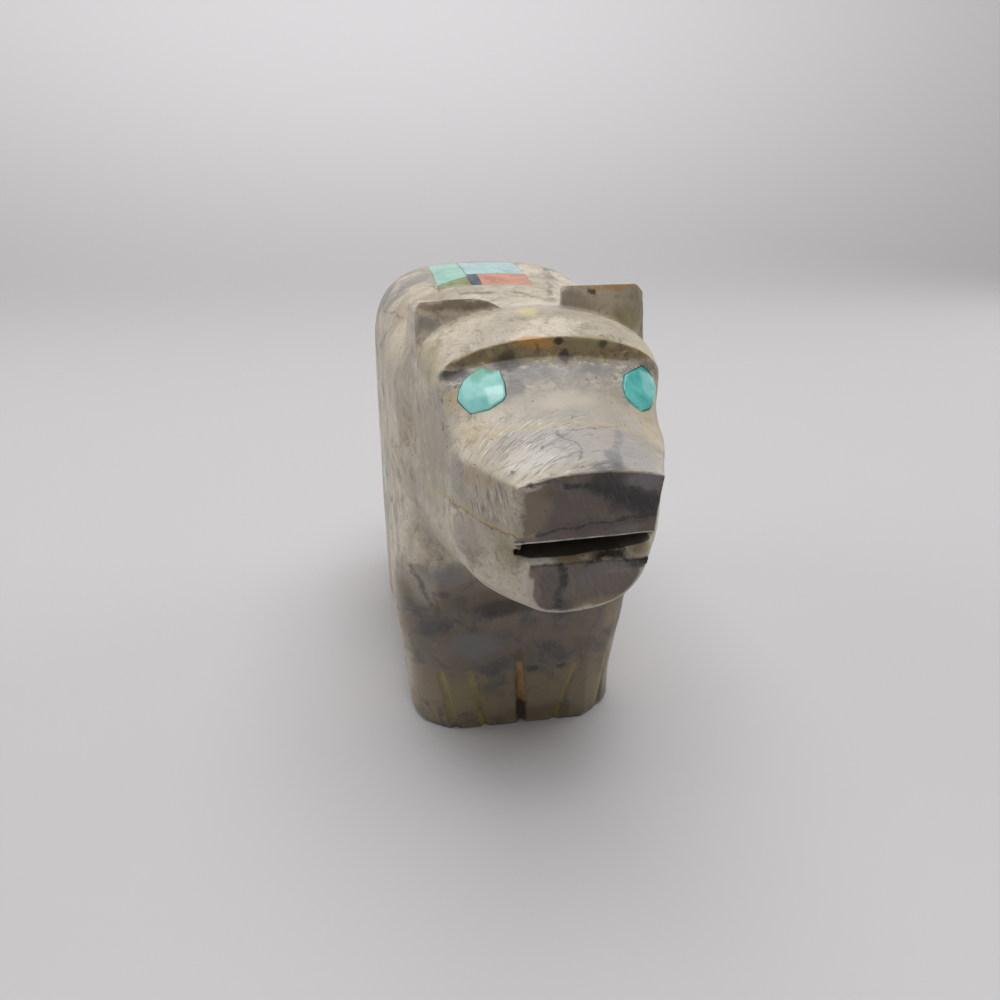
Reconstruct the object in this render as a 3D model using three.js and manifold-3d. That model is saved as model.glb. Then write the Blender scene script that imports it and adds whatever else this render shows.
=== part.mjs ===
// A small bear carved from one stone, with stones inlaid as eyes, on the back and in the right flank.
// Millimetres, +Z up. The bear stands on Z = 0 and looks along -Y, so that its right side is -X.
// The origin is on the ground under the middle of its outline box.

import * as THREE from "three";
import { mergeVertices } from "three/addons/utils/BufferGeometryUtils.js";
import Module from "manifold-3d";

// Driving dimensions
const LENGTH = 50.8; // nose to rump
const HALF_WIDTH = 9.7; // of the body, at the ribs
const HEIGHT = 35.3; // to the top of the hump
const CHEST_SETBACK = 15; // from the nose tip back to the front of the legs
const HEAD_TURN = THREE.MathUtils.degToRad(3.2); // the head looks a little to the bear's left

// Legs and belly
const FRONT_LEG_LENGTH = 10.2; // along Y, at the ground
const HIND_LEG_START = 23.6; // behind the front of the legs
const ARCH_HEIGHT = 9.4;
const ARCH_CORNER = 4.4;
const TAIL_WIDTH = 3.8;
const TAIL_LENGTH = 7.4;
const TAIL_THICKNESS = 3; // half of it is sunk in the rump

// Head
const MUZZLE_HALF_WIDTH = 4.15; // at the nose
const MUZZLE_SPREAD = 0.448; // widening for each millimetre behind the nose
const CHEEK_EDGE_Z = 26.7; // edge between the top of the snout and its sides
const UPPER_LIP_Z = 23.05;
const CHIN_Z = 17.2;
const NOSE_PLANE = { lipAt: -14.15, edgeAt: -14.8 }; // leans back from the edge of the snout to the lip
const CHIN_AT = -12.3;
const EAR_TOP_RIGHT = 34.6;
const EAR_TOP_LEFT = 35.3;

// Inlays
const EYE_DEPTH = 0.9;
const EYE_STANDOUT = 0.12;
const STRIP_DEPTH = 1.2;
const STRIP_RIGHT_X = -4.95; // the strip lies a little towards the bear's right
const STRIP_LEFT_X = 2.3;
const STRIP_SEAM_X = -2.45;
const CORAL_EDGE_X = -1.6;
const STRIP_START = 8.2; // behind the front of the legs
const STRIP_STEP = 11.3; // seam between the coral and the stone behind it
const STRIP_END = 17.8;
const FLANK_DEPTH = 1;
const SET_GAP = 0.1; // around each inlaid stone
const BED_GAP = 0.25; // under each inlaid stone

const LEG_FRONT_Y = -LENGTH / 2 + CHEST_SETBACK;
const HEAD_PIVOT_Y = LEG_FRONT_Y + 4;
const BODY_LENGTH = LENGTH - CHEST_SETBACK; // front of the legs to the rump

const wasm = await Module();
wasm.setup();

// Numbers and curves

function mix(a, b, t) {
  return a + (b - a) * t;
}

function ramp(from, to, value) {
  return THREE.MathUtils.smoothstep(value, from, to);
}

// A smooth curve through rows of { at, ...sizes }, read at any place between the first and the last.
function alongRows(rows) {
  const keys = Object.keys(rows[0]).filter((key) => key !== "at");
  return function read(at) {
    const last = rows.length - 1;
    const found = rows.findIndex((row) => row.at >= at);
    const upper = found < 0 ? last : Math.max(found, 1);
    const [before, start, end, after] = [
      rows[Math.max(upper - 2, 0)],
      rows[upper - 1],
      rows[upper],
      rows[Math.min(upper + 1, last)],
    ];
    const span = end.at - start.at;
    const t = (at - start.at) / span;
    const result = {};
    keys.forEach((key) => {
      const slopeIn = (end[key] - before[key]) / (end.at - before.at);
      const slopeOut = (after[key] - start[key]) / (after.at - start.at);
      const t2 = t * t;
      const t3 = t2 * t;
      result[key] =
        (2 * t3 - 3 * t2 + 1) * start[key] +
        (t3 - 2 * t2 + t) * span * slopeIn +
        (3 * t2 - 2 * t3) * end[key] +
        (t3 - t2) * span * slopeOut;
    });
    return result;
  };
}

// Right half of a section, from the middle of its underside to the middle of its top. Both ends are
// arches of a given height. A power of 2 is an ellipse and more is squarer; a crease of 1 leaves a sharp
// edge where the arch meets the side, and 1 / power rounds it over.
function halfSection(size, y) {
  const points = [];
  const arch = (steps, height, power, crease, place) => {
    for (let i = 0; i <= steps; i += 1) {
      const angle = (i / steps) * (Math.PI / 2);
      const across = size.half * Math.pow(Math.cos(angle), 2 / power);
      place(i === steps ? 0 : across, height * Math.pow(Math.sin(angle), 2 * crease));
    }
  };
  const under = [];
  arch(size.lowSteps, size.lowArch, size.lowPower, 1 / size.lowPower, (x, drop) => {
    under.push(new THREE.Vector3(x, y, size.low + size.lowArch - drop));
  });
  points.push(...under.reverse());
  const sideLow = size.low + size.lowArch;
  const sideHigh = size.top - size.topArch;
  for (let i = 1; i < size.sideSteps; i += 1) {
    points.push(new THREE.Vector3(size.half, y, mix(sideLow, sideHigh, i / size.sideSteps)));
  }
  arch(size.topSteps, size.topArch, size.topPower, size.topCrease ?? 1 / size.topPower, (x, rise) => {
    points.push(new THREE.Vector3(x, y, sideHigh + rise));
  });
  return points;
}

// Closed surface through half sections that are mirrored to the other side, with ends of level strips.
function loft(halves) {
  const count = halves[0].length;
  const around = 2 * count - 2;
  const points = halves.flatMap((half) => [
    ...half,
    ...half
      .slice(1, -1)
      .reverse()
      .map((p) => new THREE.Vector3(-p.x, p.y, p.z)),
  ]);
  const faces = [];
  for (let s = 0; s + 1 < halves.length; s += 1) {
    for (let i = 0; i < around; i += 1) {
      const a = s * around + i;
      const b = s * around + ((i + 1) % around);
      faces.push(a, b + around, b, a, a + around, b + around);
    }
  }
  const cap = (base, turned) => {
    for (let i = 0; i + 1 < count; i += 1) {
      const right = base + i;
      const rightNext = right + 1;
      const left = base + ((around - i) % around);
      const leftNext = base + around - i - 1;
      const strips = [];
      if (i > 0) {
        strips.push([right, left, rightNext]);
      }
      if (i + 2 < count) {
        strips.push([rightNext, left, leftNext]);
      }
      strips.forEach(([p, q, r]) => faces.push(...(turned ? [p, q, r] : [p, r, q])));
    }
  };
  cap(0, false);
  cap((halves.length - 1) * around, true);
  const geometry = new THREE.BufferGeometry().setFromPoints(points);
  geometry.setIndex(faces);
  return geometry;
}

function moveVertices(geometry, move) {
  const position = geometry.getAttribute("position");
  const point = new THREE.Vector3();
  for (let i = 0; i < position.count; i += 1) {
    move(point.fromBufferAttribute(position, i));
    position.setXYZ(i, point.x, point.y, point.z);
  }
}

// Outline of [across, up] pairs, extruded and laid so that its depth runs along X
function prismAlongX(outline, from, to) {
  const shape = new THREE.Shape(outline.map(([y, z]) => new THREE.Vector2(y, z)));
  const geometry = new THREE.ExtrudeGeometry(shape, { depth: to - from, bevelEnabled: false });
  const axes = new THREE.Matrix4().makeBasis(
    new THREE.Vector3(0, 1, 0),
    new THREE.Vector3(0, 0, 1),
    new THREE.Vector3(1, 0, 0),
  );
  return geometry.applyMatrix4(axes).translate(from, 0, 0);
}

// Outline of [x, z] pairs, extruded along Y
function prismAlongY(outline, from, to) {
  const shape = new THREE.Shape(outline.map(([x, z]) => new THREE.Vector2(-x, z)));
  const geometry = new THREE.ExtrudeGeometry(shape, { depth: to - from, bevelEnabled: false });
  const axes = new THREE.Matrix4().makeBasis(
    new THREE.Vector3(-1, 0, 0),
    new THREE.Vector3(0, 0, 1),
    new THREE.Vector3(0, 1, 0),
  );
  return geometry.applyMatrix4(axes).translate(0, from, 0);
}

// Outline of [x, y] pairs, extruded upwards
function prismAlongZ(outline, from, to) {
  const shape = new THREE.Shape(outline.map(([x, y]) => new THREE.Vector2(x, y)));
  const geometry = new THREE.ExtrudeGeometry(shape, { depth: to - from, bevelEnabled: false });
  return geometry.translate(0, 0, from);
}

// Solids for joining and cutting

function solidOf(geometry) {
  const bare = geometry.clone();
  bare.deleteAttribute("normal");
  bare.deleteAttribute("uv");
  const merged = mergeVertices(bare, 1e-4);
  const mesh = new wasm.Mesh({
    numProp: 3,
    vertProperties: merged.attributes.position.array,
    triVerts: new Uint32Array(merged.index.array),
  });
  return new wasm.Manifold(mesh);
}

function geometryOf(solid) {
  const mesh = solid.getMesh();
  const geometry = new THREE.BufferGeometry();
  geometry.setAttribute("position", new THREE.BufferAttribute(mesh.vertProperties, mesh.numProp));
  geometry.setIndex(new THREE.BufferAttribute(mesh.triVerts, 1));
  geometry.computeVertexNormals();
  return geometry;
}

// The head is carved straight ahead and then turned with this matrix.
const headTurn = new THREE.Matrix4()
  .makeTranslation(0, HEAD_PIVOT_Y, 0)
  .multiply(new THREE.Matrix4().makeRotationZ(HEAD_TURN))
  .multiply(new THREE.Matrix4().makeTranslation(0, -HEAD_PIVOT_Y, 0));

// Body: a slab with a rounded back, sawn to the outline of neck, hump, rump and legs. Rows are placed by
// their distance behind the front of the legs. Half widths are given at the foot, chest and back.
const bodyRows = [
  { at: 0, top: 30.5, foot: 5.6, chest: 6.1, half: 6.4, low: 0, topArch: 7 },
  { at: 1, top: 32, foot: 7.1, chest: 8.5, half: 7.4, low: 0, topArch: 7.2 },
  { at: 2.4, top: 33, foot: 8.3, chest: 9.4, half: 8.2, low: 0, topArch: 7.4 },
  { at: 4.4, top: 33.6, foot: 8.6, chest: 9.5, half: 8.9, low: 0, topArch: 7.7 },
  { at: 8, top: 34.4, foot: 8.6, chest: 9.5, half: 9.4, low: 0, topArch: 8 },
  { at: 13, top: 35.15, foot: 9.2, chest: 9.6, half: 9.6, low: 0, topArch: 8.3 },
  { at: 18, top: HEIGHT, foot: 9.4, chest: 9.6, half: HALF_WIDTH, low: 0, topArch: 8.3 },
  { at: 23, top: 34.7, foot: 9.4, chest: 9.6, half: 9.65, low: 0, topArch: 8.3 },
  { at: 27.5, top: 32.9, foot: 9.4, chest: 9.5, half: 9.4, low: 0, topArch: 8.4 },
  { at: 31.2, top: 30.2, foot: 8.8, chest: 9, half: 8.8, low: 0, topArch: 8.6 },
  { at: 33.6, top: 27.2, foot: 7.5, chest: 7.8, half: 7.7, low: 1.2, topArch: 8.6 },
  { at: 35, top: 24.2, foot: 6.2, chest: 6.2, half: 6.2, low: 6, topArch: 7 },
  { at: BODY_LENGTH, top: 20.6, foot: 4, chest: 4, half: 4, low: 11, topArch: 4.4 },
];
const bodyStations = [0, 0.5, 1, 1.7, 2.4, 3.4, 4.4, 6, 8, 10.5, 13, 15.5, 18, 20.5, 23, 25.3, 27.5, 29.5];
const rumpStations = [31.2, 32.5, 33.6, 34.4, 35, 35.5, BODY_LENGTH];
const FOOT_TO_CHEST = [2.5, 9.5]; // heights over which one half width gives way to the next
const CHEST_TO_BACK = [12, 21];

// How far the chest stands out in front of the legs, by height
const chestRows = [
  { at: 0, out: 0 },
  { at: 5, out: 0 },
  { at: 6, out: -0.3 },
  { at: 8.5, out: -0.35 },
  { at: 12, out: 0.4 },
  { at: 16, out: 2 },
  { at: HEIGHT, out: 2.4 },
];
const SOLE_TRIM = 0.3; // the soles are ground flat by this much
const CHEST_FADE = 9; // behind the front of the legs, where the chest's bulge has died out

function bodySolid() {
  const sizeAt = alongRows(bodyRows);
  const outAt = alongRows(chestRows);
  const halves = [...bodyStations, ...rumpStations].map((at) => {
    const row = sizeAt(at);
    const size = { ...row, low: row.low - SOLE_TRIM, lowArch: 0.7, lowPower: 4, topPower: 3.1 };
    const steps = { lowSteps: 3, sideSteps: 10, topSteps: 9 };
    const half = halfSection({ ...size, ...steps }, LEG_FRONT_Y + at);
    half.forEach((p) => {
      const low = mix(row.foot, row.chest, ramp(...FOOT_TO_CHEST, p.z));
      p.x *= mix(low, row.half, ramp(...CHEST_TO_BACK, p.z)) / row.half;
      p.y -= outAt(p.z).out * (1 - ramp(0, CHEST_FADE, at));
    });
    return half;
  });
  const ground = new THREE.BoxGeometry(3 * HALF_WIDTH, 2 * LENGTH, 2).translate(0, 0, -1);
  return solidOf(loft(halves)).subtract(solidOf(ground));
}

// Opening under the belly, with round upper corners
function bellyArch() {
  const [front, back] = [LEG_FRONT_Y + FRONT_LEG_LENGTH, LEG_FRONT_Y + HIND_LEG_START];
  const lean = 0.7; // the legs are a little thicker at the belly than at the ground
  const corner = new THREE.Shape();
  corner.moveTo(front, -1);
  corner.lineTo(back, -1);
  corner.lineTo(back - lean, ARCH_HEIGHT - ARCH_CORNER);
  corner.quadraticCurveTo(back - lean, ARCH_HEIGHT, back - lean - ARCH_CORNER, ARCH_HEIGHT);
  corner.lineTo(front + lean + ARCH_CORNER, ARCH_HEIGHT);
  corner.quadraticCurveTo(front + lean, ARCH_HEIGHT, front + lean, ARCH_HEIGHT - ARCH_CORNER);
  const outline = corner.getPoints(6).map((p) => [p.x, p.y]);
  return solidOf(prismAlongX(outline, -HALF_WIDTH - 1, HALF_WIDTH + 1));
}

// A short tail lying on the rump
function tailSolid() {
  const tail = new THREE.SphereGeometry(1, 14, 10);
  tail.scale(TAIL_WIDTH / 2, TAIL_THICKNESS / 2, TAIL_LENGTH / 2);
  tail.rotateX(THREE.MathUtils.degToRad(17));
  tail.translate(0, LEG_FRONT_Y + 34.1, 24.4);
  return solidOf(tail);
}

// Skull: a block with a domed top whose front end is the brow
const skullRows = [
  { at: -6, top: 32.85, half: 7.2, topArch: 2.65, low: 16.6 },
  { at: -4.6, top: 33.45, half: 7.5, topArch: 2.8, low: 16.5 },
  { at: -2.8, top: 33.9, half: 7.7, topArch: 2.95, low: 16.4 },
  { at: -1, top: 34, half: 7.85, topArch: 3.1, low: 16.2 },
  { at: 1.5, top: 33.9, half: 8.05, topArch: 3.6, low: 16 },
  { at: 4, top: 33.9, half: 8.3, topArch: 4.6, low: 16 },
  { at: 7, top: 34.1, half: 8.8, topArch: 6.4, low: 16 },
];
const skullStations = [-6, -5.6, -4.6, -3.6, -2.8, -1.8, -1, 0.4, 1.5, 2.8, 4, 5.5, 7];

function skullSolid() {
  const sizeAt = alongRows(skullRows);
  const halves = skullStations.map((at) => {
    const shape = { lowArch: 5, lowPower: 2.6, topPower: 2 };
    const steps = { lowSteps: 6, sideSteps: 3, topSteps: 9 };
    return halfSection({ ...sizeAt(at), ...shape, ...steps }, LEG_FRONT_Y + at);
  });
  return solidOf(loft(halves));
}

// Snout: flat on top and narrow at the nose, steeper and arched under the brow
const snoutRows = [
  { at: -16.5, top: 26.9, edge: 26.4, low: 17.3, lowPower: 2.35, topPower: 2, topCrease: 1 },
  { at: -14.9, top: 27.2, edge: 26.65, low: 17.25, lowPower: 2.35, topPower: 2, topCrease: 1 },
  { at: -12.4, top: 27.9, edge: CHEEK_EDGE_Z, low: CHIN_Z, lowPower: 2.4, topPower: 2.1, topCrease: 0.9 },
  { at: -11, top: 28.4, edge: CHEEK_EDGE_Z, low: 17.1, lowPower: 2.5, topPower: 2.1, topCrease: 0.8 },
  { at: -9.6, top: 29.05, edge: CHEEK_EDGE_Z, low: 17, lowPower: 2.6, topPower: 2.1, topCrease: 0.62 },
  { at: -8.4, top: 29.75, edge: 27, low: 16.9, lowPower: 2.6, topPower: 2.1, topCrease: 0.5 },
  { at: -7.3, top: 30.6, edge: 28.1, low: 16.8, lowPower: 2.6, topPower: 2.3, topCrease: 0.46 },
  { at: -6, top: 31.7, edge: 30.1, low: 16.6, lowPower: 2.6, topPower: 1.9, topCrease: 0.52 },
  { at: -3, top: 32.3, edge: 30.6, low: 16.4, lowPower: 2.6, topPower: 1.9, topCrease: 0.52 },
];
const snoutStations = [-16.5, -14.9, -14.1, -13.4, -12.7, -12, -11.2, -10.4, -9.6, -9, -8.4, -7.8, -7.3, -6.7, -6, -3];
const SNOUT_SHIFT = 0.24; // the snout is set this far to the bear's right
const SIDE_LEAN = 0.022; // share of the width that the sides lose for each millimetre down to the lip
const JAW_CUT = 0.3; // share of its width that the bear's right side loses below the mouth
const CHIN_FADE = [-13.7, -10.6]; // where along the jaw the lean and the cut die out

function snoutHalfWidth(at) {
  const tapered = MUZZLE_HALF_WIDTH + MUZZLE_SPREAD * (at - NOSE_PLANE.edgeAt);
  return Math.min(tapered, mix(6.7, 7, ramp(-9, -6, at)));
}

function snoutSolid() {
  const sizeAt = alongRows(snoutRows);
  const halves = snoutStations.map((at) => {
    const row = sizeAt(at);
    const arches = { lowArch: UPPER_LIP_Z - row.low, topArch: row.top - row.edge };
    const steps = { lowSteps: 9, sideSteps: 3, topSteps: 9 };
    return halfSection({ ...row, ...arches, ...steps, half: snoutHalfWidth(at) }, LEG_FRONT_Y + at);
  });
  const geometry = loft(halves);
  moveVertices(geometry, (p) => {
    const nearNose = 1 - ramp(...CHIN_FADE, p.y - LEG_FRONT_Y);
    const below = UPPER_LIP_Z - p.z;
    const down = THREE.MathUtils.clamp(CHEEK_EDGE_Z - p.z, 0, CHEEK_EDGE_Z - UPPER_LIP_Z);
    const cut = p.x < 0 ? JAW_CUT * ramp(0, 1.7, below) : 0;
    p.x *= 1 - nearNose * (SIDE_LEAN * down + cut);
    p.x -= SNOUT_SHIFT;
  });
  return solidOf(geometry);
}

// Everything in front of the sawn face of the nose and chin
function faceCut() {
  const outline = [
    [-18, 15],
    [-11.6, 15],
    [CHIN_AT, CHIN_Z],
    [NOSE_PLANE.lipAt, UPPER_LIP_Z],
    [NOSE_PLANE.edgeAt, CHEEK_EDGE_Z],
    [-15.1, 28.5],
    [-18, 28.5],
  ].map(([y, z]) => [LEG_FRONT_Y + y, z]);
  return solidOf(prismAlongX(outline, -8, 8));
}

// Mouth: a sawn slot, lower at the bear's left end, where the bevel of the lower lip is widest
const mouthSections = [
  { x: -3.95, height: 1.3, bevel: 0.65 },
  { x: 0.8, height: 1.4, bevel: 0.7 },
  { x: 4.8, height: 0.95, bevel: 1.45 },
];
const MOUTH_DEPTH = 2.8;

function mouthCut() {
  const section = ({ height, bevel }) => {
    const floor = UPPER_LIP_Z - height;
    const front = NOSE_PLANE.lipAt + 0.35; // where the lower lip's bevel meets the floor of the slot
    return [
      [-16, UPPER_LIP_Z],
      [NOSE_PLANE.lipAt + MOUTH_DEPTH, UPPER_LIP_Z],
      [NOSE_PLANE.lipAt + MOUTH_DEPTH, floor],
      [front + bevel, floor],
      [front - 3 * bevel, floor - 4 * bevel],
      [-16, floor - 4 * bevel],
    ];
  };
  const [right, middle, left] = mouthSections.map((row) => section(row).map(([y, z]) => at3(row.x, y, z)));
  return solidOf(rodBetween([right, middle])).add(solidOf(rodBetween([middle, left])));
}

// Ears: low square blocks, flush with the sides of the head. Outlines are [x, z] seen from the front.
const rightEarOutline = [
  [-7.82, 31],
  [-7.8, 34],
  [-7.4, 34.45],
  [-5.6, EAR_TOP_RIGHT],
  [-3.6, EAR_TOP_RIGHT],
  [-2.7, 34.35],
  [-1.9, 33.9],
  [-1.5, 31],
];
const leftEarOutline = [
  [2, 31],
  [2.05, 34.9],
  [2.35, EAR_TOP_LEFT],
  [7.3, EAR_TOP_LEFT],
  [7.78, 34.8],
  [7.9, 33.4],
  [7.95, 31],
];
const EAR_BACK_DROP = 0.6; // the top of each ear slopes down to its back edge
const EAR_TAPER = 1.5; // each ear is this much narrower at its back, on the inner side

function earSolid(outline, top, side) {
  const [front, back] = [-0.95, 2.4];
  const profile = [
    [-1.5, 30.5],
    [front, top],
    [back, top - EAR_BACK_DROP],
    [back + 2.2, 32.6],
    [back + 2.2, 30.5],
  ].map(([y, z]) => [LEG_FRONT_Y + y, z]);
  const inner = side > 0 ? 1.9 : 1.4;
  const plan = [
    [inner, -2],
    [inner, front],
    [inner + EAR_TAPER, back],
    [inner + EAR_TAPER, 6],
    [8.5, 6],
    [8.5, -2],
  ].map(([x, y]) => [side * x, LEG_FRONT_Y + y]);
  return solidOf(prismAlongY(outline, LEG_FRONT_Y - 3, LEG_FRONT_Y + 7))
    .intersect(solidOf(prismAlongX(profile, -9, 9)))
    .intersect(solidOf(prismAlongZ(plan, 30, 37)));
}

// Toe cuts and the split between the legs: V grooves that deepen towards the ground
const toeCuts = [
  { top: [-6.35, 0.5, 5.5], foot: [-5.2, 0.05, 0], facing: -25, width: 0.75, deep: 0.4 },
  { top: [-4, 0, 5.5], foot: [-2.75, 0, 0], facing: 0, width: 0.75, deep: 0.4 },
  { top: [4.75, 0, 5], foot: [3, 0, 0], facing: 0, width: 0.7, deep: 0.35 },
  { top: [7.8, 1.5, 5.2], foot: [6.9, 1, 0], facing: 45, width: 0.7, deep: 0.35 },
];
const legSplits = [
  { top: [-0.2, 0.2, 6.6], foot: [0.3, 0, 0], facing: 0, width: 0.9, deep: 0.8 },
  { top: [0, 34.5, 9], foot: [0, 33.4, 0], facing: 180, width: 1.2, deep: 1.2 },
];

function at3(x, y, z) {
  return new THREE.Vector3(x, LEG_FRONT_Y + y, z);
}

// Solid between two flat outlines that have the same number of corners
function rodBetween([first, second]) {
  const count = first.length;
  const along = new THREE.Vector3().subVectors(second[0], first[0]).normalize();
  const across = new THREE.Vector3().subVectors(first[1], first[0]).projectOnPlane(along).normalize();
  const up = new THREE.Vector3().crossVectors(along, across);
  const flat = first.map((p) => new THREE.Vector2(p.dot(across), p.dot(up)));
  const turned = THREE.ShapeUtils.area(flat) > 0;
  const faces = [];
  const add = (p, q, r) => faces.push(...(turned ? [p, r, q] : [p, q, r]));
  first.forEach((_, i) => {
    const next = (i + 1) % count;
    add(i, count + i, count + next);
    add(i, count + next, next);
  });
  THREE.ShapeUtils.triangulateShape(flat, []).forEach(([a, b, c]) => {
    const inOrder = THREE.ShapeUtils.area([flat[a], flat[b], flat[c]]) > 0 === turned;
    const [q, r] = inOrder ? [b, c] : [c, b];
    add(a, q, r);
    add(count + a, count + r, count + q);
  });
  const geometry = new THREE.BufferGeometry().setFromPoints([...first, ...second]);
  geometry.setIndex(faces);
  return geometry;
}

function grooveCut({ top, foot, facing, width, deep }) {
  const outward = new THREE.Vector3(0, -1, 0).applyAxisAngle(
    new THREE.Vector3(0, 0, 1),
    THREE.MathUtils.degToRad(facing),
  );
  const across = new THREE.Vector3(0, 0, 1).cross(outward);
  const past = 1; // how far the cutter stands out of the stone
  const start = at3(...top);
  const end = at3(...foot);
  end.lerp(start, -0.1);
  const section = (centre, scale) => {
    const half = (width / 2) * ((deep * scale + past) / deep);
    return [
      centre.clone().addScaledVector(outward, -deep * scale),
      centre.clone().addScaledVector(outward, past).addScaledVector(across, half),
      centre.clone().addScaledVector(outward, past).addScaledVector(across, -half),
    ];
  };
  return solidOf(rodBetween([section(start, 0.3), section(end, 1)]));
}

// Inlaid stones

// A closed outline moved inwards by a distance, or outwards by a negative one
function inset(outline, distance) {
  const corners = outline.map(([x, y]) => new THREE.Vector2(x, y));
  const inward = THREE.ShapeUtils.area(corners) > 0 ? 1 : -1;
  const count = corners.length;
  return corners.map((corner, i) => {
    const before = corners[(i + count - 1) % count];
    const after = corners[(i + 1) % count];
    const first = new THREE.Vector2().subVectors(corner, before).normalize();
    const second = new THREE.Vector2().subVectors(after, corner).normalize();
    const normal = new THREE.Vector2(-first.y - second.y, first.x + second.x).normalize();
    const stretch = distance / Math.max(normal.dot(new THREE.Vector2(-first.y, first.x)), 0.5);
    return [corner.x + inward * stretch * normal.x, corner.y + inward * stretch * normal.y];
  });
}

// An eye is a flat plate. Its place is in the frame of the unturned head, its outline in its own plane,
// with the second number up the slope. It faces a turn from straight ahead and a tilt above level.
const eyes = [
  {
    name: "eye_right",
    color: 0x7cc4ba,
    at: [-4.68, -7.3, 30.06],
    turn: -17.6,
    tilt: 45,
    outline: [
      [-1.43, -0.68],
      [-1.38, -0.05],
      [-1.18, 0.58],
      [-0.8, 1.05],
      [-0.15, 1.63],
      [0.19, 1.5],
      [0.57, 1.22],
      [0.94, 1.44],
      [1.3, 0.5],
      [1.43, -0.3],
      [1.28, -0.7],
      [0.49, -1.35],
      [-0.55, -1.63],
      [-1, -1.21],
    ],
  },
  {
    name: "eye_left",
    color: 0x4ea398,
    at: [5.35, -7.21, 29.62],
    turn: 25.6,
    tilt: 40.5,
    outline: [
      [-1.52, -0.39],
      [-1.37, 0.33],
      [-0.76, 1.07],
      [-0.15, 1.23],
      [1.05, 1.48],
      [1.35, 1.19],
      [1.52, 0.62],
      [1.31, -0.25],
      [0.47, -1.06],
      [-0.13, -1.43],
      [-0.9, -1.48],
      [-1.3, -0.95],
    ],
  },
];

const backStones = [
  {
    name: "back_green",
    color: 0x9aa572,
    outline: [
      [STRIP_RIGHT_X, STRIP_START],
      [STRIP_SEAM_X, STRIP_START],
      [STRIP_SEAM_X, 10.7],
      [STRIP_RIGHT_X, 9.3],
    ],
  },
  {
    name: "back_turquoise",
    color: 0x8ac8bd,
    outline: [
      [STRIP_RIGHT_X, 9.3],
      [STRIP_SEAM_X, 10.7],
      [STRIP_SEAM_X, STRIP_END],
      [STRIP_RIGHT_X, STRIP_END],
    ],
  },
  {
    name: "back_blue",
    color: 0x4c5a6e,
    outline: [
      [STRIP_SEAM_X, STRIP_START],
      [CORAL_EDGE_X, STRIP_START],
      [CORAL_EDGE_X, STRIP_STEP],
      [STRIP_SEAM_X, STRIP_STEP],
    ],
  },
  {
    name: "back_coral",
    color: 0xd2836a,
    outline: [
      [CORAL_EDGE_X, STRIP_START],
      [STRIP_LEFT_X, STRIP_START],
      [STRIP_LEFT_X, STRIP_STEP],
      [CORAL_EDGE_X, STRIP_STEP],
    ],
  },
  {
    name: "back_pale_turquoise",
    color: 0xa3c9c9,
    outline: [
      [STRIP_SEAM_X, STRIP_STEP],
      [STRIP_LEFT_X, STRIP_STEP],
      [STRIP_LEFT_X, STRIP_END],
      [STRIP_SEAM_X, STRIP_END],
    ],
  },
];

// Outlines in the bear's right flank: [distance behind the front of the legs, height]
const flankStones = [
  {
    name: "flank_upper",
    color: 0x9cc9bd,
    outline: [
      [12.4, 15.7],
      [16.9, 15.4],
      [17.4, 17.2],
      [16.2, 18.5],
      [12.9, 18.4],
    ],
  },
  {
    name: "flank_lower",
    color: 0x63b3ab,
    outline: [
      [12.8, 12.1],
      [16.4, 11.9],
      [16.9, 13.2],
      [13.1, 13.5],
    ],
  },
];

// A plate with a given outline, in the eye's plane, between two distances from it
function eyePlate({ at, turn, tilt }, outline, from, to) {
  const shape = new THREE.Shape(outline.map(([u, v]) => new THREE.Vector2(u, v)));
  const geometry = new THREE.ExtrudeGeometry(shape, { depth: to - from, bevelEnabled: false });
  geometry.translate(0, 0, from);
  geometry.rotateX(THREE.MathUtils.degToRad(90 - tilt));
  geometry.rotateZ(THREE.MathUtils.degToRad(turn));
  geometry.translate(...at3(...at).toArray()).applyMatrix4(headTurn);
  return solidOf(geometry);
}

function eyeParts(eye) {
  const socket = inset(eye.outline, -SET_GAP);
  return {
    ...eye,
    stone: eyePlate(eye, eye.outline, -EYE_DEPTH, EYE_STANDOUT),
    socket: eyePlate(eye, socket, -EYE_DEPTH - BED_GAP, 1),
  };
}

// A stone ground flush with the body: a prism through its skin, down to a depth along one direction
function flushParts(inlay, body, prism, inward, depth) {
  const under = body.translate(inward.map((part) => part * depth));
  const bed = body.translate(inward.map((part) => part * (depth + BED_GAP)));
  return {
    ...inlay,
    stone: body.intersect(solidOf(prism(inset(inlay.outline, SET_GAP / 2)))).subtract(under),
    socket: solidOf(prism(inset(inlay.outline, -SET_GAP / 2))).subtract(bed),
  };
}

function backParts(inlay, body) {
  const prism = (outline) => prismAlongZ(outline.map(([x, y]) => [x, LEG_FRONT_Y + y]), 30, 40);
  return flushParts(inlay, body, prism, [0, 0, -1], STRIP_DEPTH);
}

function flankParts(inlay, body) {
  const prism = (outline) => prismAlongX(outline.map(([y, z]) => [LEG_FRONT_Y + y, z]), -12, -6);
  return flushParts(inlay, body, prism, [1, 0, 0], FLANK_DEPTH);
}

// The whole animal
const body = bodySolid();
const head = solidOf(
  geometryOf(
    skullSolid()
      .add(earSolid(rightEarOutline, EAR_TOP_RIGHT, -1))
      .add(earSolid(leftEarOutline, EAR_TOP_LEFT, 1))
      .add(snoutSolid().subtract(faceCut()))
      .subtract(mouthCut()),
  ).applyMatrix4(headTurn),
);
const inlays = [
  ...eyes.map(eyeParts),
  ...backStones.map((inlay) => backParts(inlay, body)),
  ...flankStones.map((inlay) => flankParts(inlay, body)),
];
const cuts = [bellyArch(), ...[...toeCuts, ...legSplits].map(grooveCut), ...inlays.map((inlay) => inlay.socket)];
const bear = cuts.reduce((whole, cut) => whole.subtract(cut), body.add(head).add(tailSolid()));

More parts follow.
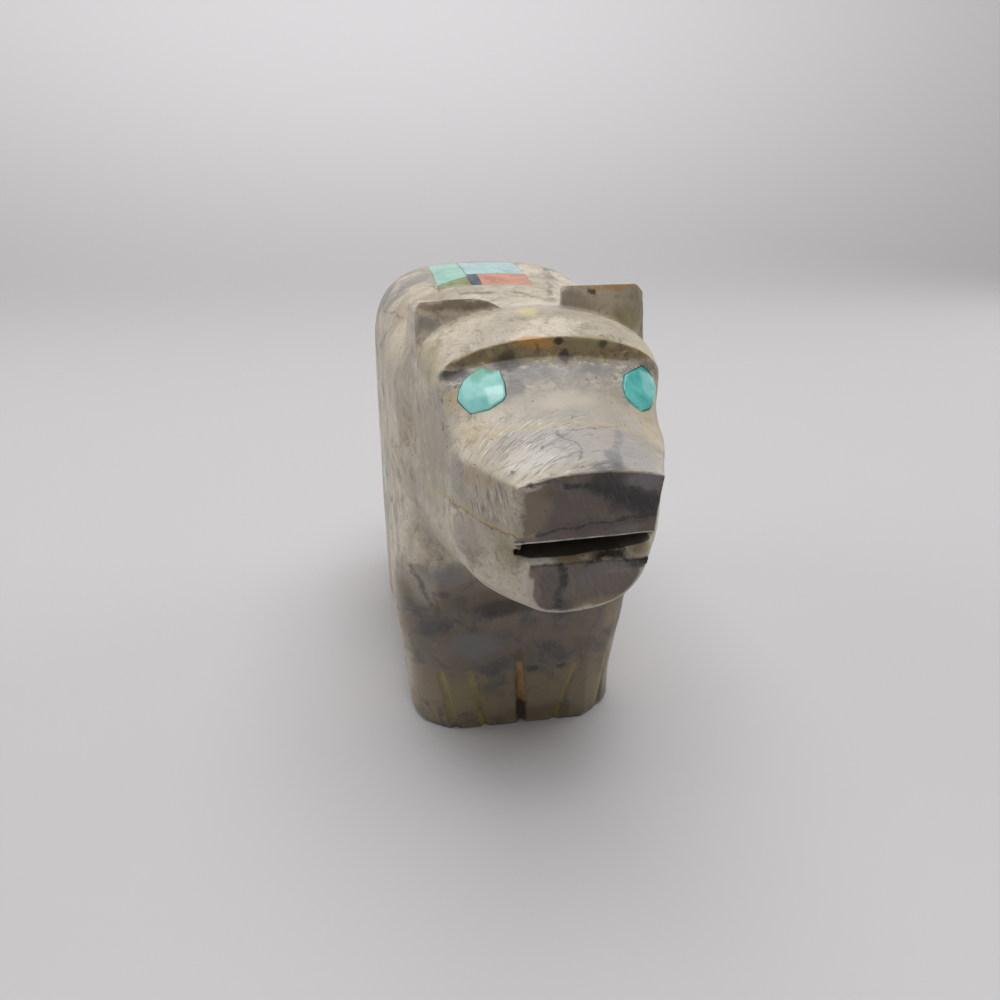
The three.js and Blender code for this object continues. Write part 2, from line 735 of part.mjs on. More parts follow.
const group = new THREE.Group();
group.name = "zuni_bear";

function addPiece(name, solid, color, roughness) {
  const finish = new THREE.MeshStandardMaterial({ color, roughness, metalness: 0 });
  finish.name = name;
  const mesh = new THREE.Mesh(geometryOf(solid), finish);
  mesh.name = name;
  group.add(mesh);
}

addPiece("stone_bear", bear, 0xb9b2a6, 0.45);
inlays.forEach((inlay) => addPiece(inlay.name, inlay.stone, inlay.color, 0.3));

export default group;
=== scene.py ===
import math

import bmesh
import bpy
from bpy.props import FloatProperty, FloatVectorProperty, IntProperty, PointerProperty
from mathutils import Matrix, Vector, noise
from mathutils.kdtree import KDTree


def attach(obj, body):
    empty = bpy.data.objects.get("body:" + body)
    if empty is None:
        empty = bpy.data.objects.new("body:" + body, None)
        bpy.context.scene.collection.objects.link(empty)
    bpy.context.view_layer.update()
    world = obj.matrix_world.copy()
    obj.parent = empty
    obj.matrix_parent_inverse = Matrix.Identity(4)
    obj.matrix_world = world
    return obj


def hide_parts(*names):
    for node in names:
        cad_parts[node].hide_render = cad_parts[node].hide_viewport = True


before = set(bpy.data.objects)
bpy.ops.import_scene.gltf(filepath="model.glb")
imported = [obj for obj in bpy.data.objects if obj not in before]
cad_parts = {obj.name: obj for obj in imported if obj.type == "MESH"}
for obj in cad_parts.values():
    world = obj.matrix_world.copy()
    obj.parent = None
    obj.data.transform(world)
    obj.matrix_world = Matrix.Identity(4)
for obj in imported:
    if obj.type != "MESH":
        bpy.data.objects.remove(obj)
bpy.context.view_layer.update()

bl_info = {
    "name": "Carved stone bear",
    "version": (1, 0, 0),
    "blender": (4, 5, 0),
    "location": "View3D > Sidebar > Stone bear",
    "description": "A small veined stone bear with inlaid eyes, back strip and flank stones",
    "category": "Object",
}

MM = 0.001
LEG_FRONT = -10.4  # Y of the front of the legs, in millimetres
HEAD_TURN_DEGREES = 3.2  # towards the bear's left
HEAD_TURN = math.radians(HEAD_TURN_DEGREES)
HEAD_PIVOT = Vector((0, LEG_FRONT + 4, 0))
STONE_CREASE = math.radians(55)  # steeper edges of the stone stay sharp to the light
INLAY_CREASE = math.radians(35)

# The sawn face of nose and chin, and the mouth: places behind the front of the legs and sizes
# in millimetres on the unturned head
LIP_HEIGHT = 23.05
LIP_AT = -14.15
LOWER_LIP_BACK = 0.35  # behind the upper lip
NOSE_LEAN = 0.178  # how far the face comes forward for each millimetre above the lip
CHIN_LEAN = 0.316  # how far it goes back for each millimetre below the lip
MOUTH_DEPTH = 2.8
MOUTH_END_RADIUS = 0.5
mouth_sections = (
    {"x": -3.97, "height": 1.32, "bevel": 0.66},
    {"x": 0.8, "height": 1.42, "bevel": 0.72},
    {"x": 4.9, "height": 0.97, "bevel": 1.46},
)


def facing(turn, tilt):
    """The direction of a turn from straight ahead and a tilt above level, in degrees."""
    turn, tilt = math.radians(turn), math.radians(tilt)
    return Vector((math.sin(turn) * math.cos(tilt), -math.cos(turn) * math.cos(tilt), math.sin(tilt)))


UP = Vector((0, 0, 1))
TO_THE_RIGHT = Vector((-1, 0, 0))

# The inlaid stones: their slots, and the directions that their polished sides face
inlays = {
    "eye_right": ("turquoise", facing(-17.6 + HEAD_TURN_DEGREES, 45)),
    "eye_left": ("turquoise_deep", facing(25.6 + HEAD_TURN_DEGREES, 40.5)),
    "back_green": ("green_stone", UP),
    "back_turquoise": ("turquoise", UP),
    "back_blue": ("dark_blue_stone", UP),
    "back_coral": ("coral", UP),
    "back_pale_turquoise": ("turquoise_pale", UP),
    "flank_upper": ("turquoise_pale", TO_THE_RIGHT),
    "flank_lower": ("turquoise", TO_THE_RIGHT),
}
inlay_axes = {node: axis for node, (_, axis) in inlays.items()}
flush_stones = [node for node in inlay_axes if not node.startswith("eye")]


# Settings


def length_setting(name, description, default, **limits):
    """A length, with its default in millimetres."""
    kind = {"subtype": "DISTANCE", "unit": "LENGTH", "precision": 5}
    return FloatProperty(name=name, description=description, default=default * MM, **kind, **limits)


def colour_setting(name, description, default):
    return FloatVectorProperty(name=name, description=description, default=default, subtype="COLOR", size=3)


def power_setting(name, description, default):
    return FloatProperty(name=name, description=description, default=default, unit="POWER")


class StoneSettings(bpy.types.PropertyGroup):
    """Sizes and colours of the carved stone"""

    grid: length_setting(
        "Skin grid", "Spacing of the grid that the skin of the stone is drawn on", 0.15, min=0.1 * MM
    )
    wear: length_setting("Edge wear", "Distance over which the sawn edges are worn round", 0.45)
    polish_rounds: IntProperty(
        name="Polish rounds",
        description="How often the skin is smoothed between its edges",
        default=90,
        min=0,
    )
    faces: IntProperty(
        name="Most triangles",
        description="Number of triangles that the finished skin is thinned to",
        default=185000,
        min=1000,
    )
    cream: colour_setting("Cream", "Lightest ground colour of the stone", (0.64, 0.565, 0.45))
    grey: colour_setting("Grey", "Cooler ground colour of the stone", (0.45, 0.4, 0.315))


class InlaySettings(bpy.types.PropertyGroup):
    """Sizes and colours of the inlaid stones"""

    eye_grid: length_setting("Eye grid", "Spacing of the grid that the skin of an eye is drawn on", 0.06)
    eye_dome: length_setting("Eye dome", "How far the polished side of an eye bulges", 0.16)


class StageSettings(bpy.types.PropertyGroup):
    """Floor, lights and camera"""

    lens: FloatProperty(
        name="Lens",
        description="Focal length in millimetres on a 36 mm wide sensor",
        default=28.26,
        min=1,
    )
    floor_colour: colour_setting("Floor", "Colour of the floor", (0.56, 0.55, 0.56))
    key_power: power_setting("Overhead lamp", "Power of the soft lamp over the bear", 0.75)
    window_power: power_setting("Window lamp", "Power of the lamp that shines in the right eye", 0.15)
    side_power: power_setting("Side lamps", "Power of each lamp beside the bear", 0.21)
    backdrop_power: power_setting("Backdrop lamp", "Power of the lamp on the raised end of the floor", 9)


# Helpers for shaping


def head_point(x, y, z):
    """A point of the frame, from a place on the head before it was turned, y behind the leg front."""
    turned = Matrix.Rotation(HEAD_TURN, 3, "Z") @ (Vector((x, LEG_FRONT + y, z)) - HEAD_PIVOT)
    return (turned + HEAD_PIVOT) * MM


def head_frame(point):
    """The reverse of head_point."""
    place = Matrix.Rotation(-HEAD_TURN, 3, "Z") @ (Vector(point) / MM - HEAD_PIVOT) + HEAD_PIVOT
    return place - Vector((0, LEG_FRONT, 0))


def pick(piece):
    """Makes a piece the only selected and active object."""
    bpy.ops.object.select_all(action="DESELECT")
    piece.hide_set(False)
    piece.select_set(True)
    bpy.context.view_layer.objects.active = piece


def copy_of(node, name):
    """A merged copy of a solid of the frame, free to be shaped."""
    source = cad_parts[node]
    piece = source.copy()
    piece.data = source.data.copy()
    piece.parent = None
    piece.matrix_world = Matrix.Identity(4)
    piece.name = name
    piece.data.name = name
    piece.hide_viewport = False
    piece.hide_render = False
    bpy.context.collection.objects.link(piece)
    pick(piece)
    piece.data.materials.clear()
    bpy.ops.object.mode_set(mode="EDIT")
    bpy.ops.mesh.select_all(action="SELECT")
    bpy.ops.mesh.remove_doubles(threshold=0.001 * MM)
    bpy.ops.mesh.customdata_custom_splitnormals_clear()
    bpy.ops.object.mode_set(mode="OBJECT")
    return piece


def apply_modifier(piece, kind, **values):
    """Adds a modifier with some values and applies it at once."""
    pick(piece)
    modifier = piece.modifiers.new(kind.title(), kind)
    for key, value in values.items():
        setattr(modifier, key, value)
    bpy.ops.object.modifier_apply(modifier=modifier.name)


def weigh(piece, name, weights):
    """A vertex group with one weight for each vertex."""
    group = piece.vertex_groups.new(name=name)
    buckets = {}
    for i, weight in enumerate(weights):
        buckets.setdefault(round(weight, 2), []).append(i)
    for weight, indices in buckets.items():
        if weight > 0:
            group.add(indices, weight, "REPLACE")


def join_or_cut(piece, tool, operation):
    """Joins a tool to a piece, or cuts it out of the piece, and removes the tool."""
    apply_modifier(piece, "BOOLEAN", operation=operation, object=tool, solver="MANIFOLD")
    bpy.data.objects.remove(tool)


def swollen_copy(node, axis, room, under, above):
    """A copy of an inlaid stone, wider by some room and longer along the way it faces."""
    tool = copy_of(node, node + "_tool")
    shape = bmesh.new()
    shape.from_mesh(tool.data)
    shape.normal_update()
    middle = sum((vertex.co for vertex in shape.verts), Vector()) / len(shape.verts)
    moves = []
    for vertex in shape.verts:
        sideways = vertex.normal - axis * vertex.normal.dot(axis)
        is_outer = (vertex.co - middle).dot(axis) > 0
        on_side = sideways.length > 0.3
        outwards = sideways.normalized() * room if on_side else Vector()
        moves.append(outwards + axis * (above if is_outer else -under))
    for vertex, move in zip(shape.verts, moves):
        vertex.co += move
    shape.to_mesh(tool.data)
    shape.free()
    return tool


def ramp(value, low, high):
    """0 below low, 1 above high, smooth between them."""
    t = min(max((value - low) / (high - low), 0), 1)
    return t * t * (3 - 2 * t)


# The stone


def face_plane(z):
    """Distance of the sawn face behind the front of the legs, at a height, both in millimetres."""
    lean = NOSE_LEAN if z > LIP_HEIGHT else CHIN_LEAN
    return LIP_AT - (z - LIP_HEIGHT) * lean


def hardness(point):
    """How well an edge of the solid keeps its shape in the polish: 1 is crisp, 0 is polished away."""
    x, y, z = head_frame(point)
    on_sawn_face = y < face_plane(z) + 0.3 and z < 27.6
    if on_sawn_face:
        right_edge_of_nose = x < -3.4 and 23.3 < z < 26.4
        lower_rim = z < 20.6
        return 0.2 if right_edge_of_nose else 0.5 if lower_rim else 1
    on_snout_edge = -14.8 < y < -9.5 and 26.2 < z < 28 and abs(x) > 3
    on_skull_crease = -6.6 < y < -5.4 and abs(x) > 6 and 26.5 < z < 31
    if on_snout_edge or on_skull_crease:
        return 0.85
    on_brow = -7.2 < y < -5 and z > 28.5
    on_ears = z > 31 and -1.8 < y < 3.2 and abs(x) > 1.6
    on_toes = z < 6.8 and y < 2.2
    on_split = z < 9 and y > 32
    return 1 if on_brow or on_ears or on_toes or on_split else 0


def sawn_edges(piece, flattest=math.radians(28), spacing=0.04 * MM):
    """Points along the edges that stay, in a tree for quick distances."""
    shape = bmesh.new()
    shape.from_mesh(piece.data)
    points = []
    for edge in shape.edges:
        if len(edge.link_faces) == 2 and edge.calc_face_angle() > flattest:
            start, end = (vertex.co for vertex in edge.verts)
            if hardness((start + end) / 2) > 0:
                steps = max(1, int((end - start).length / spacing))
                points += [start.lerp(end, i / steps) for i in range(steps + 1)]
    shape.free()
    tree = KDTree(len(points))
    for i, point in enumerate(points):
        tree.insert(point, i)
    tree.balance()
    return tree


def softness(place, edge_point, from_edge, wear):
    """How freely the polish moves a place: not at a sawn edge, and little on the snout."""
    x, y, z = head_frame(place)
    on_snout = ramp(y, -5, -7.5) * ramp(z, 18, 20)
    away = ramp(from_edge, 0.1 * MM, wear)
    in_the_open = away * (1 - 0.75 * on_snout)
    at_the_edge = (1 - away) * (1 - hardness(edge_point))
    return max(in_the_open, at_the_edge)


def carve_stone(settings):
    """The bear without sockets: the solid, drawn on a fine grid and polished between its sawn edges."""
    bear = copy_of("stone_bear", "bear_stone")
    for name, axis in inlay_axes.items():
        plug = swollen_copy(name, axis, room=0.16 * MM, under=0.3 * MM, above=-0.02 * MM)
        join_or_cut(bear, plug, "UNION")
    solid = copy_of("stone_bear", "bear_solid")
    edges = sawn_edges(solid)
    apply_modifier(bear, "REMESH", mode="VOXEL", voxel_size=settings.grid)
    nearest = [edges.find(vertex.co) for vertex in bear.data.vertices]
    weigh(bear, "crisp", [1 - ramp(distance, 0.3 * MM, 0.5 * MM) for _, _, distance in nearest])
    loose = []
    for vertex, (point, _, distance) in zip(bear.data.vertices, nearest):
        loose.append(softness(vertex.co, point, distance, settings.wear))
    weigh(bear, "loose", loose)
    apply_modifier(bear, "SHRINKWRAP", target=solid, vertex_group="crisp")
    bpy.data.objects.remove(solid)
    snap_distance = 0.6 * settings.grid
    for vertex, (point, _, distance) in zip(bear.data.vertices, nearest):
        if distance < snap_distance:
            vertex.co = point
    apply_modifier(bear, "SMOOTH", factor=0.5, iterations=2)
    apply_modifier(bear, "SMOOTH", factor=0.6, iterations=settings.polish_rounds, vertex_group="loose")
    ripple(bear)
    return bear


def ripple(piece):
    """Slight waves of the hand-held grinding, long and short, over the whole skin."""
    moves = []
    for vertex in piece.data.vertices:
        place = vertex.co / MM
        long_wave = noise.noise(place * 0.35) * 0.06
        short_wave = noise.noise(place * 1.1) * 0.02
        moves.append(vertex.normal * (long_wave + short_wave) * MM)
    for vertex, move in zip(piece.data.vertices, moves):
        vertex.co += move


def thin_skin(bear, most):
    """Fewer triangles where the skin is even, and the sawn edges kept."""
    count = sum(len(face.vertices) - 2 for face in bear.data.polygons)
    if count > most:
        apply_modifier(bear, "DECIMATE", decimate_type="COLLAPSE", ratio=most / count)


def mouth_section(height, bevel):
    """Corners of the slot and the bevel below it, as places behind the leg front and heights."""
    ahead = LIP_AT - 2
    back = LIP_AT + MOUTH_DEPTH
    floor = LIP_HEIGHT - height
    edge = LIP_AT + LOWER_LIP_BACK + bevel
    drop = 4 * bevel
    return [
        (ahead, LIP_HEIGHT),
        (back, LIP_HEIGHT),
        (back, floor),
        (edge, floor),
        (edge - drop, floor - drop),
        (ahead, floor - drop),
    ]


def mouth_cutter():
    """The shape of the sawn mouth, drawn out from section to section, with a rounded right end."""
    bpy.ops.object.select_all(action="DESELECT")
    bpy.ops.mesh.primitive_circle_add(vertices=6, radius=MM, fill_type="NGON")
    cutter = bpy.context.object
    bpy.ops.object.mode_set(mode="EDIT")
    shape = bmesh.from_edit_mesh(cutter.data)
    before = [vertex.co.copy() for vertex in shape.verts]
    for i, row in enumerate(mouth_sections):
        if i > 0:
            bpy.ops.mesh.extrude_region_move()
        corners = [head_point(row["x"], y, z) for y, z in mouth_section(row["height"], row["bevel"])]
        shape = bmesh.from_edit_mesh(cutter.data)
        for vertex in shape.verts:
            if vertex.select:
                own = min(range(len(corners)), key=lambda k: (vertex.co - before[k]).length)
                vertex.co = corners[own]
        bmesh.update_edit_mesh(cutter.data)
        before = corners
    bpy.ops.mesh.select_all(action="SELECT")
    bpy.ops.mesh.normals_make_consistent(inside=False)
    bpy.ops.mesh.select_all(action="DESELECT")
    shape = bmesh.from_edit_mesh(cutter.data)
    for edge in shape.edges:
        start, stop = (head_frame(vertex.co) for vertex in edge.verts)
        at_end = max(start.x, stop.x) < mouth_sections[0]["x"] + 0.1
        is_level = abs(start.z - stop.z) < 0.1
        edge.select_set(at_end and is_level and start.z > LIP_HEIGHT - 2)
    bpy.ops.mesh.bevel(offset=MOUTH_END_RADIUS * MM, segments=4)
    bpy.ops.object.mode_set(mode="OBJECT")
    return cutter


# The inlaid stones


def finish_inlay(piece, node):
    """Gives an inlaid stone its polish, its material and its place in the frame."""
    pick(piece)
    bpy.ops.object.shade_smooth_by_angle(angle=INLAY_CREASE)
    piece.data.materials.clear()
    piece.data.materials.append(inlay_material(node))
    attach(piece, "root")
    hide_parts(node)


def dome(eye, axis, height):
    """Raises the middle of the polished side of an eye."""
    middle = sum((vertex.co for vertex in eye.data.vertices), Vector()) / len(eye.data.vertices)
    radius = max((vertex.co - middle).length for vertex in eye.data.vertices)
    for vertex in eye.data.vertices:
        offset = vertex.co - middle
        if offset.dot(axis) > 0:
            sideways = (offset - axis * offset.dot(axis)).length / radius
            share = 1 - 1.3 * sideways * sideways
            vertex.co += axis * height * max(share, 0)


class Undoable:
    """What the operators share."""

    bl_options = {"REGISTER", "UNDO"}


class BEAR_OT_eyes(Undoable, bpy.types.Operator):
    """Grinds the two eyes from the solids of their plugs"""

    bl_idname = "bear.eyes"
    bl_label = "Grind the eyes"

    def execute(self, context):
        settings = context.scene.bear_inlay
        for node in ("eye_right", "eye_left"):
            eye = copy_of(node, node + "_stone")
            apply_modifier(eye, "REMESH", mode="VOXEL", voxel_size=settings.eye_grid)
            apply_modifier(eye, "SMOOTH", factor=0.5, iterations=5)
            dome(eye, inlay_axes[node], settings.eye_dome)
            finish_inlay(eye, node)
        return {"FINISHED"}


class BEAR_OT_flush_stones(Undoable, bpy.types.Operator):
    """Sets the stones of the back and the flank, ground off flush with the skin of the carved bear"""

    bl_idname = "bear.flush_stones"
    bl_label = "Set the flush stones"

    def execute(self, context):
        bear = bpy.data.objects["bear_stone"]
        for node in flush_stones:
            piece = swollen_copy(node, inlay_axes[node], room=0.02 * MM, under=0, above=1 * MM)
            piece.name = node + "_stone"
            skin = bear.copy()
            skin.data = bear.data.copy()
            context.collection.objects.link(skin)
            join_or_cut(piece, skin, "INTERSECT")
            finish_inlay(piece, node)
        return {"FINISHED"}


class BEAR_OT_carving(Undoable, bpy.types.Operator):
    """Carves the bear from the solid and polishes it, without its sockets and mouth"""

    bl_idname = "bear.carving"
    bl_label = "Carve the bear"

    def execute(self, context):
        settings = context.scene.bear_stone
        thin_skin(carve_stone(settings), settings.faces)
        return {"FINISHED"}


class BEAR_OT_cuts(Undoable, bpy.types.Operator):
    """Cuts the sockets and the mouth of the carved bear, and gives it its stone and its place"""

    bl_idname = "bear.cuts"
    bl_label = "Cut the sockets and the mouth"

    def execute(self, context):
        bear = bpy.data.objects["bear_stone"]
        for node, axis in inlay_axes.items():
            socket = swollen_copy(node, axis, room=0.045 * MM, under=0.25 * MM, above=1 * MM)
            join_or_cut(bear, socket, "DIFFERENCE")
        join_or_cut(bear, mouth_cutter(), "DIFFERENCE")
        pick(bear)
        bpy.ops.object.shade_smooth_by_angle(angle=STONE_CREASE)
        bear.data.materials.clear()
        bear.data.materials.append(stone_material(context.scene.bear_stone))
        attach(bear, "root")
        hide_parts("stone_bear")
        return {"FINISHED"}


# Shader nodes


class Shading:
    """Builds one material out of shader nodes, on places given in millimetres."""

    def __init__(self, name, roughness):
        self.material = bpy.data.materials.new(name)
        self.material.use_nodes = True
        self.tree = self.material.node_tree
        self.shader = self.tree.nodes["Principled BSDF"]
        self.shader.inputs["Roughness"].default_value = roughness
        self.object_place = self.tree.nodes.new("ShaderNodeTexCoord").outputs["Object"]

    def feed(self, socket, value):
        if isinstance(value, bpy.types.NodeSocket):
            self.tree.links.new(value, socket)
        elif isinstance(value, (tuple, Vector)):
            length = len(socket.default_value)
            socket.default_value = (*value, 1)[:length]
        else:
            socket.default_value = value

    def node(self, kind, inputs, output=0, **settings):
        made = self.tree.nodes.new(kind)
        for key, value in settings.items():
            setattr(made, key, value)
        for key, value in inputs.items():
            self.feed(made.inputs[key], value)
        return made.outputs[output]

    def maths(self, operation, *values):
        return self.node("ShaderNodeMath", dict(enumerate(values)), operation=operation)

    def vector(self, operation, *values, output=0):
        return self.node("ShaderNodeVectorMath", dict(enumerate(values)), output, operation=operation)

    def place(self, move=(0, 0, 0), turn=0):
        """Object coordinates in millimetres, turned about the upright axis and moved."""
        inputs = {
            "Vector": self.object_place,
            "Location": move,
            "Rotation": (0, 0, turn),
            "Scale": (1 / MM, 1 / MM, 1 / MM),
        }
        return self.node("ShaderNodeMapping", inputs)

    def split(self, place):
        """The parts of a place in the three directions."""
        return self.node("ShaderNodeSeparateXYZ", {0: place}).node.outputs

    def spread(self, place, scales):
        return self.vector("MULTIPLY", place, scales)

    def noise(self, place, scale, detail=2, roughness=0.5, distortion=0):
        inputs = {
            "Vector": place,
            "Scale": scale,
            "Detail": detail,
            "Roughness": roughness,
            "Distortion": distortion,
        }
        return self.node("ShaderNodeTexNoise", inputs)

    def rise(self, value, low, high, start=0, end=1):
        """Smooth change from start to end while a value goes from low to high."""
        inputs = {"Value": value, "From Min": low, "From Max": high, "To Min": start, "To Max": end}
        return self.node("ShaderNodeMapRange", inputs, interpolation_type="SMOOTHSTEP")

    def times(self, *values):
        product = values[0]
        for value in values[1:]:
            product = self.maths("MULTIPLY", product, value)
        return product

    def blend(self, first, second, *shares):
        """A colour with a second one laid over it, as strongly as the product of the shares."""
        made = self.tree.nodes.new("ShaderNodeMix")
        made.data_type = "RGBA"
        self.feed(made.inputs[0], self.times(*shares))
        self.feed(made.inputs[6], first)
        self.feed(made.inputs[7], second)
        return made.outputs[2]

    def layers(self, colour, *rows):
        """A colour with others laid over it in turn, each by its shares."""
        for added, *shares in rows:
            colour = self.blend(colour, added, *shares)
        return colour

    def curve(self, value, points):
        """A smooth curve through (value, result) pairs."""
        low, high = points[0][0], points[-1][0]
        results = [result for _, result in points]
        margin = 0.01
        least, most = min(results) - margin, max(results) + margin
        share = self.node("ShaderNodeMapRange", {"Value": value, "From Min": low, "From Max": high})
        made = self.tree.nodes.new("ShaderNodeFloatCurve")
        line = made.mapping.curves[0]
        while len(line.points) < len(points):
            line.points.new(0.5, 0.5)
        for point, (at, result) in zip(line.points, points):
            point.location = ((at - low) / (high - low), (result - least) / (most - least))
        made.mapping.update()
        self.feed(made.inputs["Value"], share)
        return self.node("ShaderNodeMapRange", {"Value": made.outputs[0], "To Min": least, "To Max": most})

    def finish(self, colour, height, distance, strength):
        """The material, with its colour and a bump of some height."""
        inputs = {"Height": height, "Distance": distance, "Strength": strength}
        self.feed(self.shader.inputs["Base Color"], colour)
        self.feed(self.shader.inputs["Normal"], self.node("ShaderNodeBump", inputs))
        return self.material


# The markings of the stone, at places (x, behind the leg front, z) on the unturned head in millimetres

CREAM = (0.6, 0.535, 0.44)
WARM_GREY = (0.42, 0.37, 0.285)
PUTTY = (0.36, 0.32, 0.265)
LILAC = (0.37, 0.34, 0.33)
BLUE_GREY = (0.22, 0.215, 0.22)
SLATE = (0.085, 0.085, 0.095)
BLACK = (0.02, 0.018, 0.017)
MAUVE = (0.142, 0.114, 0.097)
BROWN = (0.15, 0.105, 0.065)
TAUPE = (0.25, 0.19, 0.132)
UMBER = (0.3, 0.215, 0.095)
RUST = (0.42, 0.26, 0.12)
ORANGE = (0.55, 0.29, 0.07)
OCHRE = (0.5, 0.38, 0.19)
OLIVE = (0.3, 0.255, 0.125)
YELLOW = (0.62, 0.54, 0.25)
MOSS = (0.38, 0.33, 0.09)
WHITE = (0.82, 0.79, 0.73)
MAUVE_BROWN = (0.135, 0.1, 0.09)
ASH = (0.2, 0.185, 0.185)

